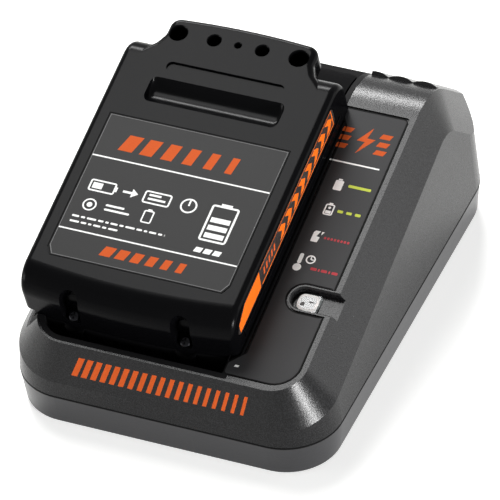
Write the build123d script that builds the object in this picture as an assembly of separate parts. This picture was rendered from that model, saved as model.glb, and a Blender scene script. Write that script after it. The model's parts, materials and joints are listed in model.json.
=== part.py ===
"""A bench charger for cordless tool packs, with one five-cell slide pack docked on it.

Frame: +X to the right, +Y to the rear, +Z up, z = 0 on the table. All sizes in mm.
The deck of the charger is tilted. Everything that lies on it is drawn in deck
coordinates (x, s, h): x to the right, s up the deck, h square to the deck.
"""
import math
import os

from build123d import *

# ---------------------------------------------------------------- housing form
foot_stand = 1.0            # the feet lift the lower housing off the table
body_w = 117.2              # width at the parting line
body_d = 166.2              # depth at the parting line
corner_r = 19.8             # corners in plan, at the parting line
lower_h = 12.2              # height of the lower housing
lower_draft = 1.36          # the lower housing is this much smaller at its bottom, each side
lower_edge = 0.8            # softened bottom edge
wall_t = 2.5                # wall of both housings
floor_t = 2.5               # floor of the lower housing
wall_draft = 3.5            # draft of the upper walls, degrees
wall_rise = 75.0            # height the upper walls are drawn to before the deck cuts them
deck_tilt = 15.07           # tilt of the deck, degrees
deck_front_rise = 32.37      # the deck's front edge above the lower housing's underside
deck_front_z = deck_front_rise + foot_stand
bevel_drop = 13.3           # depth of the bevel around the deck
bevel_run = 9.55            # width of the bevel in plan, each side
ridge_half = body_w / 2 - bevel_run     # half the width between the two ridges of the deck
ridge_s = 4.7               # front ridge
ridge_r = 11.8              # front corners of the ridge
ridge_rear_s = 165.0        # rear end of the deck outline before the roll-over cuts it
roll_s = 123.0              # where the deck starts to roll over to the rear
roll_r = 26.7               # radius of the roll-over
rear_slope = 42.0           # fall of the rear face, degrees below level
form_reach = body_w / 2      # length of the sloping rear face as drawn, more than it needs
form_depth = body_w         # depth that the form is drawn to below the deck, more than it needs
form_half = 0.6 * body_w    # half width of the blocks the form is cut from
inset_share = 0.55          # how far the ridge moves in for each mm of wall
overshoot = 1.1             # the bevel is drawn this much wider than it is, then cut by the walls

part_gap = 0.4              # shadow line between the two housings
part_gap_depth = 0.7
lip_h = 2.0                 # locating lip inside the parting line
lip_t = 1.1
fit = 0.15                  # clearance of fixed pieces in their seats
touch = 0.05                # clearance of pieces that rest on each other
tiny = 0.01

# ---------------------------------------------------------------- rear ribs
rib_pitch = 9.0
rib_count = 3
rib_x0 = 21.3               # left side of the first rib
rib_gap = 0.5
rib_proud = 1.1
rib_start = 5.0             # the ribs start this far up the roll-over from the slope
rib_end_z = 24.0

# ---------------------------------------------------------------- dock
dock_x = -14.5              # centre line of the dock and the pack
channel_half = 36.1         # half width of the channel
channel_wide_s = 13.9       # from here on the channel has its full width
channel_depth = 14.0        # floor of the channel below the deck
tray_t = 1.8                # wall of the dock tray
tray_rear_s = 160.0
shelf_x = 25.7              # right edge of the shelf beside the channel
shelf_s0 = 12.3
shelf_s = 116.0
shelf_drop = 1.5
shelf_t = 1.4
tray_rim = 0.95             # the tray starts this far inside the ridge
rim_drop = 0.1
rail_in = 2.6               # how far the dock rails stand in
rail_low = -8.0
rail_high = -5.4
rail_s0 = 30.0
rail_s1 = 118.0
guide_half = 5.0            # groove in the channel floor for the latch tongue
guide_depth = 1.0
guide_s0 = 122.0

# ---------------------------------------------------------------- status panel
panel_x1 = 46.77
panel_s0 = 7.5
panel_s1 = 121.9
panel_left_low = 21.5
panel_left = 26.3
panel_left_top = 22.6
panel_step_s = 12.4
panel_step_top_s = 17.4
panel_neck_s0 = 114.0
panel_neck_s1 = 120.0
panel_corner = 9.0
panel_small = 1.6
panel_t = 0.3
panel_recess = 0.6
panel_margin = 0.45

notch_x0 = 33.2             # notch with the status lens
notch_x1 = body_w / 2 + bevel_run       # it is drawn out past the right wall
notch_s = 43.0
notch_half = 4.3
notch_depth = 2.8
notch_rim = 1.5             # rim of the housing around the notch
notch_flare = 0.55          # bevel on the inside of that rim
lens_x0 = 34.75
lens_x1 = 43.15
lens_s0 = 38.9
lens_s1 = 46.6
lens_top = -1.9
lens_stem = 3.0
lens_r = 3.2
lens_small = 1.0

# ---------------------------------------------------------------- housing screws and feet
boss_x = 51.8
boss_y = 54.0
boss_r = 4.6
boss_top_z = 22.0
screw_r = 1.5
screw_bore_r = 1.55
screw_pass_r = 1.8
screw_head_r = 3.0
screw_head_h = 2.2
screw_sink_r = 3.6
vent_count = 9              # slots under the floor
vent_w = 2.4
vent_len = 26.0
vent_pitch = 6.5
screw_sink_h = 5.0
screw_len = 15.0
drive_r = 1.3
drive_depth = 1.1
foot_x = 44.0
foot_y = 66.0
foot_r = 6.0
foot_sink = 1.2
foot_crown = 1.0

# ---------------------------------------------------------------- cord inlet
gland_x = 30.0
gland_r = 4.6
gland_flange_r = 6.2
gland_flange_t = 1.6
gland_proud = 2.0
gland_bore_r = 3.4
gland_tail = 6.0

# ---------------------------------------------------------------- main board
board_x = 43.0
board_y = 64.0
board_t = 1.6
board_z = 8.0
stand_x = 37.0
stand_y = 58.0
stand_r = 3.2
board_screw_r = 1.1
board_screw_bore_r = 1.15
board_head_r = 2.2
board_head_h = 1.4
board_screw_len = 5.0
board_hole_r = 1.3
board_top = board_z + board_t

core_x = -16.0
core_y = 34.0
core_w = 34.0
core_d = 30.0
core_h = 24.0
core_leg = 8.0
core_window_d = 19.0
bobbin_flange = 1.6
winding_margin = 1.0
bobbin_stand = 1.2

cap_spots = (
    (33.0, 40.0, 8.0, 26.0), (33.0, 14.0, 6.3, 20.0),
    (34.0, -6.0, 5.0, 15.0), (20.0, 12.0, 5.0, 16.0),
)
cap_groove = 0.35
cap_groove_z = 3.0
choke_x = 12.0
choke_y = 30.0
choke_r = 8.0
choke_bore_r = 3.8
choke_w = 7.0
choke_wire = 0.9
choke_turns = 9
sink_x = -41.0
sink_y0 = 8.0
sink_y1 = 50.0
sink_t = 2.0
sink_h = 22.0
sink_fins = 6
sink_fin_w = 5.0
sink_fin_t = 1.4
chip_w = 10.0
chip_h = 14.0
chip_t = 4.4
chip_z = 5.0
chip_ys = (19.0, 39.0)
chip_screw_z = 15.0
chip_screw_r = 1.3
chip_screw_bore_r = 1.35
chip_screw_head_r = 2.4
chip_screw_head_t = 1.6
fuse_x = 4.0
fuse_y = 56.0
fuse_len = 20.0
fuse_r = 2.5
fuse_cap = 5.0
clip_w = 4.0
clip_t = 0.5
clip_gap = 0.04
inlet_x = 25.0
inlet_y = 59.0
inlet_w = 14.0
inlet_d = 8.0
inlet_h = 11.0
inlet_hole_r = 1.6
chips = ((-22.0, -20.0, 10.0, 6.0, 1.6), (2.0, -30.0, 6.0, 5.0, 1.4), (24.0, -40.0, 8.0, 5.0, 1.6))
led_board_t = 1.2
led_board_drop = 12.0
led_r = 1.5
led_round = 0.6 * led_r
led_h = 4.0
led_gap = 3.4
led_board_w = 16.0
led_board_d = 14.0
led_post_r = 2.2
led_post_off = 5.6

# ---------------------------------------------------------------- dock contacts
contact_pitch = 6.0
contact_count = 5
blade_t = 0.8
blade_s0 = 20.0
blade_s1 = 33.0
blade_top = -6.0
blade_low = -18.5
block_half = 20.0
block_s0 = 17.0
block_s1 = 37.0
block_h = 4.0
block_gap = 0.05
block_screw_x = 17.0
blade_slot = 0.1

# ---------------------------------------------------------------- cells
cell_r = 9.15
cell_len = 65.0
cell_pitch = 19.2
cell_count = 5
cell_mid_s = 66.0
cell_h = 5.5
rear_room = 3.45            # between the last cell and the outside of the wall under the lip
grip_s = cell_mid_s + (cell_count - 1) / 2 * cell_pitch + cell_r + rear_room
shoulder_run = 5.6          # the shoulders reach this far behind that wall
pack_rear = grip_s + shoulder_run
cell_nub_r = 2.8
cell_nub = 0.9
cell_groove = 0.25
cell_groove_at = 3.0
holder_t = 6.0
holder_wall = 0.55
holder_clear = 0.08
strip_t = 0.25
strip_w = 7.0
strip_gap = 0.05
pad_t = 0.5
pad_gap = 0.2
pack_board_h = -7.6
pack_board_t = 1.0
pack_board_s1 = 108.0
pack_chip_t = 1.6
pack_chip_spots = (
    (-20.0, 45.0, 10.0, 8.0), (-4.0, 50.0, 7.0, 7.0),
    (8.0, 70.0, 12.0, 6.0), (-18.0, 90.0, 9.0, 6.0),
)
pack_board_half = 29.0
pack_post_r = 2.4
clip_len = 11.0
clip_high = 5.0
clip_leaf = 0.5
receptacle_half = 17.0
receptacle_s0 = 17.5
receptacle_s1 = 36.0

# ---------------------------------------------------------------- pack, label side
pack_half = 39.3            # half width of the pack
pack_top = 17.8             # label face above the deck
pack_front = 12.4           # foremost point of the bowed front
pack_bow = 2.6              # the corners stand this far behind the middle of the front
pack_corner = 3.5
pack_roll = 9.0             # big radius over the front and over the rear shoulders
pack_edge = 2.4             # small radius along the sides
pack_wall = 2.2
skirt = 0.4                 # bottom of the sides above the deck
seam = -0.8                 # bottom edge of the front
seam_gap = 0.5
base_step = 3.9
base_half = pack_half - base_step       # half width of the rail side
base_low = -12.5            # underside of the pack
base_rear = 139.0
base_wall = 2.0
plate_t = 1.6               # plate under the sides
inner_half = 33.6           # opening for the cells

lip_half = 27.5
lip_rear = 131.8            # rear corners of the lip
lip_bow = 1.3               # the middle of the lip stands this far behind its corners
lip_low = 9.2
lip_corner = 4.0
lip_round = 4.0             # hollow corners between the lip and the shoulders
lip_edge = 3.0
lip_flare = 9.0
lip_shoulder = 2.0
grip_half = 24.5            # half width of the finger space under the lip
lip_holes = ((-22.9, 3.2), (-9.5, 2.4), (-0.6, 1.15), (8.4, 2.35), (22.0, 3.4))
lip_hole_s = 125.3
lip_hole_depth = 6.0
lip_hole_edge = 0.3
pill_half = 21.8
pill_s0 = 109.2
pill_s1 = 113.2
pill_depth = 0.8
groove_half = 24.9
groove_s = 100.6
groove_half_w = 5.3
groove_depth = 2.8
groove_round = 2.4
groove_skin = 0.8           # shell left under the finger groove

pocket_x = 20.4             # screw pockets in the front, each side of the middle
pocket_r = 3.5
pocket_tilt = 20.0
pocket_s = 13.4
pocket_h = 6.0
pocket_floor = 1.5
pocket_long = 2.4           # the pocket is this much longer than wide
boss_wall = 1.0             # wall around it
cell_skin = 0.8             # wall between it and the first cell
pocket_front_r = 3.75
pocket_front_h = 4.4
bump_r = 5.0
bump_h = 2.4
mark_half = 3.7             # tapered tab under each pocket: half width at its top
mark_low_half = 1.9         # and at its foot
mark_low = -9.0
mark_out = 1.3              # how far it stands out of the front
mark_foot_r = 1.45
mark_edge = 0.9
post_r = 3.0
post_low = -9.0
pack_screw_len = 8.0
pack_screw_head_r = 2.0
pack_screw_head_h = 1.5
pack_screw_r = 1.2
pack_screw_bore_r = 1.25

label_x0 = -33.4
label_x1 = 33.2
label_s0 = 27.0
label_s1 = 87.6
label_cut_x = 1.8
label_cut_s = 3.3
label_t = 0.25
label_recess = 0.3
label_margin = 0.2
side_low = 6.5
side_high = 15.0
side_s0 = 18.6
side_s1 = 109.0
side_round = 1.5
side_nose = 8.0
band_low = 2.3
band_high = 5.0
band_proud = 0.35
band_s0 = 22.0
band_s1 = 114.0

# ---------------------------------------------------------------- pack, rail side
slot_clear = 0.3            # running clearance of the pack on the dock rails
tail_top = -0.1
tail_gap = 0.6
tail_s = grip_s + tail_gap
tail_wall = 1.8
rail_wall = 5.0             # the rail side's flank below the rails, groove and all
contact_slot_half = 1.3
contact_slot_top = -4.5
contact_slot_s1 = 36.0

# ---------------------------------------------------------------- latch
bar_half = 20.0
bar_s0 = 126.0
bar_s1 = 134.5
bar_low = 0.1
bar_high = 3.6
bar_round = 1.2
leg_x = 17.0
leg_half = 1.5
leg_s0 = 128.5
leg_s1 = 131.5
cross_half = 18.5
cross_s0 = 126.5
cross_s1 = 133.5
cross_low = -10.2
cross_high = -8.8
tongue_half = 4.0
tongue_s0 = 127.5
tongue_s1 = 132.5
tongue_low = -14.7
latch_clear = 0.3
spring_r = 1.7
spring_wire = 0.25
spring_turns = 3
spring_x = 10.0
spring_s = 128.6

# ================================================================ helpers
tilt = math.radians(deck_tilt)
part_z = foot_stand + lower_h
front_y = -body_d / 2
deck_frame = Plane(
    origin=(0, front_y, deck_front_z),
    x_dir=(1, 0, 0),
    z_dir=(0, -math.sin(tilt), math.cos(tilt)),
)
centring = Pos(0, -gland_proud / 2, 0)   # the origin lies under the middle of the whole part


def on_deck(shape):
    """From deck coordinates to the part's frame."""
    return deck_frame.location * shape


def block(x0, x1, y0, y1, z0, z1):
    """A box given by its limits."""
    centre = Pos((x0 + x1) / 2, (y0 + y1) / 2, (z0 + z1) / 2)
    return centre * Box(x1 - x0, y1 - y0, z1 - z0)


def rod(x, y, z0, z1, radius):
    """An upright cylinder between two heights."""
    return Pos(x, y, (z0 + z1) / 2) * Cylinder(radius, z1 - z0)


def outline(points, z0, z1):
    """A straight-sided prism over a closed polygon."""
    face = make_face(Polyline(*[(x, y, z0) for x, y in points], close=True))
    return extrude(face, z1 - z0, dir=(0, 0, 1))


def joined(shapes):
    """All shapes fused into one."""
    shapes = list(shapes)
    whole = shapes[0]
    for shape in shapes[1:]:
        whole = whole + shape
    return whole


def carved(shape, *cutters):
    """The shape with every solid of the cutters taken out, one at a time."""
    for cutter in cutters:
        for solid in cutter.solids():
            shape = shape - solid
    return shape


def group(shapes):
    """Separate solids kept as one piece of the record."""
    return Compound(children=[solid for shape in shapes for solid in shape.solids()])


def save(shape, name, moved=True):
    """Write one subcomponent."""
    placed = centring * shape if moved else shape
    solids = placed.solids()
    whole = solids[0] if len(solids) == 1 else Compound(children=list(solids))
    whole.label = name
    export_step(whole, f"parts/{name}.step")


# ================================================================ housing form
def level(s, h):
    """Height above the table of a point on the deck."""
    return deck_front_z + s * math.sin(tilt) + h * math.cos(tilt)


def wall_form(inset, low):
    """The drafted walls as one block."""
    plan = Pos(0, 0, part_z) * RectangleRounded(body_w - 2 * inset, body_d - 2 * inset, corner_r - inset)
    upper = extrude(plan, wall_rise, taper=wall_draft)
    if low > 0:
        upper = upper + extrude(plan, low, dir=(0, 0, -1))
    return upper


def roll_points(drop):
    """Corner points of the deck's side view, sunk by a drop: deck, roll-over, rear slope."""
    turn = math.radians(deck_tilt + rear_slope)
    radius = roll_r - drop
    start = (roll_s, -drop)
    middle = (roll_s + radius * math.sin(turn / 2), radius * math.cos(turn / 2) - roll_r)
    end = (roll_s + radius * math.sin(turn), radius * math.cos(turn) - roll_r)
    foot = (end[0] + form_reach * math.cos(turn), end[1] - form_reach * math.sin(turn))
    return start, middle, end, foot


def side_view(drop, place):
    """The closed outline of the deck's rear half, each (s, h) put in space by place."""
    start, middle, end, foot = roll_points(drop)
    low = -form_depth
    rear = (foot[0], low)
    front = (roll_s, low)
    edges = [
        Edge.make_three_point_arc(place(*start), place(*middle), place(*end)),
        Edge.make_line(place(*end), place(*foot)),
        Edge.make_line(place(*foot), place(*rear)),
        Edge.make_line(place(*rear), place(*front)),
        Edge.make_line(place(*front), place(*start)),
    ]
    return Wire(edges)


def housing_form(inset):
    """The outside of the upper housing, or the same form with all walls moved in."""
    walls = wall_form(inset, wall_t if inset else 0)
    ridge = ridge_half - inset_share * inset
    drop = bevel_drop + inset * (1 - inset_share)
    deeper = (drop - inset) * (overshoot - 1)

    def at_ridge(s, h):
        return Vector(ridge, s, h)

    def past_wall(s, h):
        lean = (level(s, h + deeper) - part_z) * math.tan(math.radians(wall_draft))
        wall = body_w / 2 - inset - lean
        return Vector(ridge + (wall - ridge) * overshoot, s, h)

    middle = extrude(Face(side_view(inset, lambda s, h: Vector(-ridge, s, h))), 2 * ridge, dir=(1, 0, 0))
    right = Solid.make_loft([side_view(inset, at_ridge), side_view(drop + deeper, past_wall)], True)
    left = mirror(right, Plane.YZ)
    rear_cap = on_deck(middle + right + left)

    cut = section(walls, section_by=Plane(
        origin=deck_frame.from_local_coords(Vector(0, 0, -drop)),
        x_dir=(1, 0, 0),
        z_dir=deck_frame.z_dir,
    ))
    ridge_mid = (ridge_s + inset_share * inset + ridge_rear_s) / 2
    ridge_len = ridge_rear_s - ridge_s - inset_share * inset
    top = Pos(0, ridge_mid, -inset) * RectangleRounded(2 * ridge, ridge_len, ridge_r)
    cap = Solid.make_loft([cut.faces()[0].outer_wire(), on_deck(top).faces()[0].outer_wire()], True)
    front_cap = cap & on_deck(block(-form_half, form_half, -form_half, roll_s, -form_depth, form_half))

    under = on_deck(block(-form_half, form_half, -form_half, roll_s, -form_depth, -drop))
    return walls & (under + front_cap + rear_cap)


os.makedirs("parts", exist_ok=True)
outer_form = housing_form(0)
inner_form = housing_form(wall_t)


def panel_outline(margin, h0, h1):
    """The status panel's plan, grown or shrunk by a margin."""
    grow = margin
    points = [
        (panel_left_low - grow, panel_s0 - grow),
        (panel_x1 + grow, panel_s0 - grow),
        (panel_x1 + grow, panel_s1 + grow),
        (panel_left_top - grow, panel_s1 + grow),
        (panel_left_top - grow, panel_neck_s1),
        (panel_left - grow, panel_neck_s0),
        (panel_left - grow, panel_step_top_s),
        (panel_left_low - grow, panel_step_s + grow),
    ]
    plate = outline(points, h0, h1)
    upright = plate.edges().filter_by(Axis.Z)
    front_right = upright.sort_by(lambda e: e.center().Y - e.center().X)[0]
    plate = fillet(front_right, panel_corner + grow)
    rest = [
        e for e in plate.edges().filter_by(Axis.Z)
        if e.center().Y > panel_s1 or e.center().Y > panel_s1 - abs(grow) - tiny
        or e.center().X < panel_left_low + tiny
    ]
    return fillet(rest, panel_small)


def notch(margin):
    """The slot that runs from the lens out through the right bevel."""
    half = notch_half - margin
    low = -notch_depth + margin
    round_end = rod(notch_x0 + notch_half, notch_s, low, form_half, half)
    run = block(notch_x0 + notch_half, notch_x1, notch_s - half, notch_s + half, low, form_half)
    return round_end + run


def notch_bevel():
    """The flared top of the notch, which bevels the inside of its rim."""
    high = roll_r / 10
    spread = notch_flare + high
    middle = notch_x0 + notch_half
    cone = Pos(middle, notch_s, (high - notch_flare) / 2) * Cone(notch_half, notch_half + spread, spread)
    sides = [
        (notch_s - notch_half, -notch_flare), (notch_s + notch_half, -notch_flare),
        (notch_s + notch_half + spread, high), (notch_s - notch_half - spread, high),
    ]
    face = make_face(Polyline(*[(middle, y, h) for y, h in sides], close=True))
    return cone + extrude(face, notch_x1 - middle, dir=(1, 0, 0))


# ================================================================ upper housing
channel_x0 = dock_x - channel_half
channel_x1 = dock_x + channel_half
tray_low = -channel_depth - tray_t



def inside_ridge(margin):
    """A prism over the deck outline, shrunk by a margin."""
    length = ridge_rear_s - ridge_s
    plan = Pos(0, ridge_s + length / 2, -form_half) * RectangleRounded(
        2 * (ridge_half - margin), length - 2 * margin, ridge_r - margin
    )
    return extrude(plan, 2 * form_half)


def channel_plan(margin, h0, h1):
    """The channel's plan grown by a margin, as a prism."""
    wide = block(channel_x0 - margin, channel_x1 + margin, channel_wide_s - margin, tray_rear_s, h0, h1)
    nose = block(channel_x0 - margin, channel_x1 + margin, 0, channel_wide_s, h0, h1)
    return wide + (nose & inside_ridge(tray_rim + tray_t - margin))


dock_opening = joined([
    channel_plan(tray_t + fit, tray_low - fit, form_half),
    block(-form_half, channel_x0, channel_wide_s - tray_t, tray_rear_s,
          -shelf_drop - bevel_drop / 2, form_half),
    block(channel_x1, shelf_x + fit, shelf_s0 - fit, shelf_s + fit, -shelf_drop - shelf_t - fit, form_half),
])


def corner_spots(x, y):
    """The four mirrored spots of one corner."""
    return [(sx * x, sy * y) for sx in (-1, 1) for sy in (-1, 1)]


screw_spots = corner_spots(boss_x, boss_y)
upper_bosses = joined(rod(x, y, part_z + part_gap, boss_top_z, boss_r) for x, y in screw_spots)
upper_bores = joined(
    rod(x, y, 0, screw_sink_h + foot_stand + screw_len + touch, screw_bore_r) for x, y in screw_spots
)
pillar_spots = [
    (notch_x0 + notch_half + side * led_post_off, notch_s + side * led_post_off / 2) for side in (-1, 1)
]
led_pillars = on_deck(joined(rod(x, s, -led_board_drop, -wall_t / 2, led_post_r) for x, s in pillar_spots))
pillar_bores = on_deck(joined(
    rod(x, s, -led_board_drop - 1, -led_board_drop + board_screw_len, board_screw_bore_r)
    for x, s in pillar_spots
))
rib_radius = ((rib_pitch - rib_gap) ** 2 / (8 * rib_proud)) + rib_proud / 2
roll_end = roll_points(0)[2]
slope_turn = math.radians(deck_tilt + rear_slope)


def rib(index):
    """One rounded rib that runs down the rear slope."""
    x = rib_x0 + (index + 1 / 2) * rib_pitch
    dx = math.cos(slope_turn)
    dh = -math.sin(slope_turn)
    s0 = roll_end[0] - dx * rib_start
    h0 = roll_end[1] - dh * rib_start
    sunk = rib_proud - rib_radius
    origin = Vector(x, s0 - dh * sunk, h0 + dx * sunk)
    frame = Plane(origin=origin, x_dir=(1, 0, 0), z_dir=(0, dx, dh))
    bar = Cylinder(rib_radius, form_reach, align=(Align.CENTER, Align.CENTER, Align.MIN))
    side = (rib_pitch - rib_gap) / 2
    keep = Box(2 * side, 2 * rib_radius, form_reach, align=(Align.CENTER, Align.CENTER, Align.MIN))
    return frame.location * (bar & keep)


ribs = on_deck(joined(rib(i) for i in range(rib_count)))
rib_left = channel_x1 + tray_t + fit + rib_gap
rib_zone = block(rib_left, ridge_half - rib_gap, 0, body_d / 2 - wall_t, rib_end_z, wall_rise)
ribs = ribs & rib_zone

shell = outer_form + ribs
shell = shell - inner_form
notch_pocket = on_deck(notch(-wall_t)) & outer_form
shell = shell + notch_pocket
shell = shell + (upper_bosses & outer_form)
shell = shell + (led_pillars & outer_form)
shell = shell - on_deck(notch(0))
shell = shell - on_deck(notch_bevel())
lens_mid_x = (lens_x0 + lens_x1) / 2
stem_hole = rod(lens_mid_x, notch_s, -2 * notch_depth - wall_t, -notch_depth + tiny, lens_stem + fit)
shell = shell - on_deck(stem_hole)
panel_seat = panel_outline(panel_margin, -panel_recess, form_half) - notch(panel_margin - notch_rim)
shell = shell - on_deck(panel_seat)
shell = carved(shell, upper_bores, pillar_bores, on_deck(dock_opening))

gland_hole = Pos(gland_x, body_d / 2, part_z) * Rot(90, 0, 0) * Cylinder(gland_r + fit, 4 * wall_t)
shadow_line = block(-form_half, form_half, -body_d, body_d, part_z - tiny, part_z + part_gap)
shadow_line = shadow_line - wall_form(part_gap_depth, part_gap)
shell = shell - shadow_line - gland_hole
save(shell, "upper_housing")

# ================================================================ lower housing
plan = Pos(0, 0, part_z) * RectangleRounded(body_w, body_d, corner_r)
draft_angle = math.degrees(math.atan(lower_draft / lower_h))
tub = extrude(plan, lower_h, dir=(0, 0, -1), taper=draft_angle)
tub = fillet(tub.faces().sort_by(Axis.Z)[0].edges(), lower_edge)
hollow_plan = Pos(0, 0, foot_stand + floor_t) * RectangleRounded(
    body_w - 2 * (wall_t + lower_draft), body_d - 2 * (wall_t + lower_draft), corner_r - wall_t - lower_draft
)
hollow = extrude(hollow_plan, lower_h)
lip_plan = Pos(0, 0, part_z - lip_h) * RectangleRounded(
    body_w - 2 * (wall_t + fit), body_d - 2 * (wall_t + fit), corner_r - wall_t - fit
)
lip_hollow = Pos(0, 0, part_z - lip_h) * RectangleRounded(
    body_w - 2 * (wall_t + lip_t + fit), body_d - 2 * (wall_t + lip_t + fit), corner_r - wall_t - lip_t - fit
)
locating_lip = extrude(lip_plan, 2 * lip_h) - extrude(lip_hollow, 2 * lip_h)
floor_top = foot_stand + floor_t
lower_bosses = joined(rod(x, y, foot_stand + tiny, part_z - touch, boss_r) for x, y in screw_spots)
stand_spots = corner_spots(stand_x, stand_y)
stands = joined(rod(x, y, floor_top - tiny, board_z, stand_r) for x, y in stand_spots)
stand_bores = joined(
    rod(x, y, board_top - board_screw_len - touch, board_z + 1, board_screw_bore_r) for x, y in stand_spots
)
boss_wells = joined(rod(x, y, part_z - touch, part_z + 2 * lip_h, boss_r + fit) for x, y in screw_spots)
screw_passes = joined(rod(x, y, 0, part_z + 1, screw_pass_r) for x, y in screw_spots)
screw_sinks = joined(rod(x, y, 0, foot_stand + screw_sink_h, screw_sink_r) for x, y in screw_spots)
foot_spots = corner_spots(foot_x, foot_y)
foot_sinks = joined(rod(x, y, 0, foot_stand + foot_sink, foot_r + fit) for x, y in foot_spots)

vents = joined(
    Pos((k - (vent_count - 1) / 2) * vent_pitch, 0, foot_stand + floor_t / 2)
    * extrude(SlotOverall(vent_len, vent_w, rotation=90), floor_t, both=True)
    for k in range(vent_count)
)

lower = tub - hollow
lower = lower + (locating_lip - boss_wells) + (lower_bosses & (tub + lower_bosses)) + stands
lower = carved(lower, stand_bores, screw_passes, screw_sinks, foot_sinks, vents, gland_hole)
lower = lower & block(-body_w / 2, body_w / 2, front_y, -front_y, foot_stand, part_z + 2 * lip_h)
save(lower, "lower_housing")

feet = []
for x, y in foot_spots:
    foot = rod(x, y, 0, foot_stand + foot_sink - touch, foot_r)
    feet.append(chamfer(foot.faces().sort_by(Axis.Z)[0].edges(), foot_crown / 2))
save(group(feet), "rubber_feet")


def pan_screw(shank_r, length, head_r, head_h, recess_r, recess_depth):
    """A pan-head screw: the head sits below z = 0, the shank goes up."""
    head = Pos(0, 0, -head_h / 2) * Cylinder(head_r, head_h)
    head = fillet(head.faces().sort_by(Axis.Z)[0].edges(), head_h / 2 - touch)
    shank = rod(0, 0, -tiny, length, shank_r)
    tip = shank.faces().sort_by(Axis.Z)[-1].edges()
    shank = chamfer(tip, shank_r / 2)
    cross = joined([
        Pos(0, 0, -head_h) * Box(2 * recess_r, recess_r / 2, 2 * recess_depth),
        Pos(0, 0, -head_h) * Box(recess_r / 2, 2 * recess_r, 2 * recess_depth),
    ])
    return head + shank - cross


housing_screw = pan_screw(screw_r, screw_len, screw_head_r, screw_head_h, drive_r, drive_depth)
seat_z = foot_stand + screw_sink_h - touch
save(group(Pos(x, y, seat_z) * housing_screw for x, y in screw_spots), "housing_screws")

# ================================================================ dock tray
channel_body = channel_plan(tray_t, tray_low, tray_t)
channel_hollow = channel_plan(0, -channel_depth, form_half)
shelf = block(channel_x1, shelf_x, shelf_s0, shelf_s, -shelf_drop - shelf_t, -shelf_drop)
shelf_rim = block(shelf_x - tray_t / 3, shelf_x, shelf_s0, shelf_s, -shelf_drop - tiny, -rim_drop)
front_rim = block(channel_x1, shelf_x, shelf_s0, shelf_s0 + tray_t / 3, -shelf_drop - tiny, -rim_drop)
rails = joined([
    block(channel_x0 - tiny, channel_x0 + rail_in, rail_s0, rail_s1, rail_low, rail_high),
    block(channel_x1 - rail_in, channel_x1 + tiny, rail_s0, rail_s1, rail_low, rail_high),
])
contact_xs = [dock_x + (k - (contact_count - 1) / 2) * contact_pitch for k in range(contact_count)]
blade_holes = joined(
    block(x - blade_t / 2 - blade_slot, x + blade_t / 2 + blade_slot, blade_s0 - blade_slot,
          blade_s1 + blade_slot, tray_low - 1, -channel_depth + 1)
    for x in contact_xs
)
tongue_groove = block(dock_x - guide_half, dock_x + guide_half, guide_s0, tray_rear_s + 1,
                      -channel_depth - guide_depth, 0)
block_top = tray_low - block_gap
block_mid_s = (block_s0 + block_s1) / 2
tray_posts = joined(
    rod(dock_x + side * block_screw_x, block_mid_s, block_top, tray_low + tiny, board_head_r)
    for side in (-1, 1)
)
tray_post_bores = joined(
    rod(dock_x + side * block_screw_x, block_mid_s, block_top - 1, tray_low + tray_t / 2 + fit,
        board_screw_bore_r)
    for side in (-1, 1)
)
tray = channel_body + shelf
tray = tray - channel_hollow
tray = tray - block(channel_x1 + tiny, channel_x1 + tray_t + tiny, shelf_s0, shelf_s, -shelf_drop, form_half)
tray = tray + shelf_rim + front_rim + rails
tray = carved(tray + tray_posts, blade_holes, tongue_groove, tray_post_bores)
tray = tray - panel_outline(touch, -panel_recess - touch, form_half)
save(on_deck(tray) & outer_form, "dock_tray")

# ================================================================ status panel and lens
panel_plate = panel_outline(0, -panel_recess, -panel_recess + panel_t) - notch(-notch_rim)
save(on_deck(panel_plate), "status_panel")

lens_cap = block(lens_x0, lens_x1, lens_s0, lens_s1, -notch_depth + touch, lens_top)
lens_up = lens_cap.edges().filter_by(Axis.Z)
lens_cap = fillet(lens_up.sort_by(Axis.X)[:2], lens_r)
lens_cap = fillet(lens_cap.edges().filter_by(Axis.Z).sort_by(Axis.X)[-2:], lens_small)
lens_cap = fillet(lens_cap.faces().sort_by(Axis.Z)[-1].edges(), lens_small / 2)
pipe_low = -led_board_drop + led_board_t / 2 + led_h
light_pipe = rod(lens_mid_x, notch_s, pipe_low, -notch_depth + 2 * touch, lens_stem)
save(on_deck(lens_cap + light_pipe), "status_lens")

# ================================================================ cord gland
gland_in_y = body_d / 2 - wall_t - gland_flange_t


def rod_y(x, z, y0, y1, radius):
    """A cylinder along Y between two depths."""
    return Pos(x, (y0 + y1) / 2, z) * Rot(90, 0, 0) * Cylinder(radius, y1 - y0)


outer_flange = rod_y(gland_x, part_z, body_d / 2 + fit, body_d / 2 + gland_proud, gland_flange_r)
outer_flange = fillet(outer_flange.faces().sort_by(Axis.Y)[-1].edges(), gland_flange_t / 2)
gland = outer_flange + rod_y(gland_x, part_z, gland_in_y - gland_tail, body_d / 2 + fit + tiny, gland_r)
gland = gland + rod_y(gland_x, part_z, gland_in_y - lip_t, gland_in_y, gland_flange_r)
gland = gland - rod_y(gland_x, part_z, 0, body_d, gland_bore_r)
save(gland, "cord_gland")

# ================================================================ main board
board = block(-board_x, board_x, -board_y, board_y, board_z, board_top)
board_notches = joined(rod(x, y, 0, board_top + 1, boss_r + fit) for x, y in screw_spots)
board_holes = joined(rod(x, y, 0, board_top + 1, board_hole_r) for x, y in stand_spots)
board = carved(board, board_notches, board_holes)
board = Pos(0, 0, touch) * board
save(board, "main_board")
board_face = board_top + touch
seat = board_face + touch

small_screw = pan_screw(board_screw_r, board_screw_len, board_head_r, board_head_h, board_screw_r,
                        board_head_h / 2)
board_screw = Rot(180, 0, 0) * small_screw
board_screws = [Pos(x, y, seat) * board_screw for x, y in stand_spots]
save(group(board_screws), "board_screws")

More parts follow.
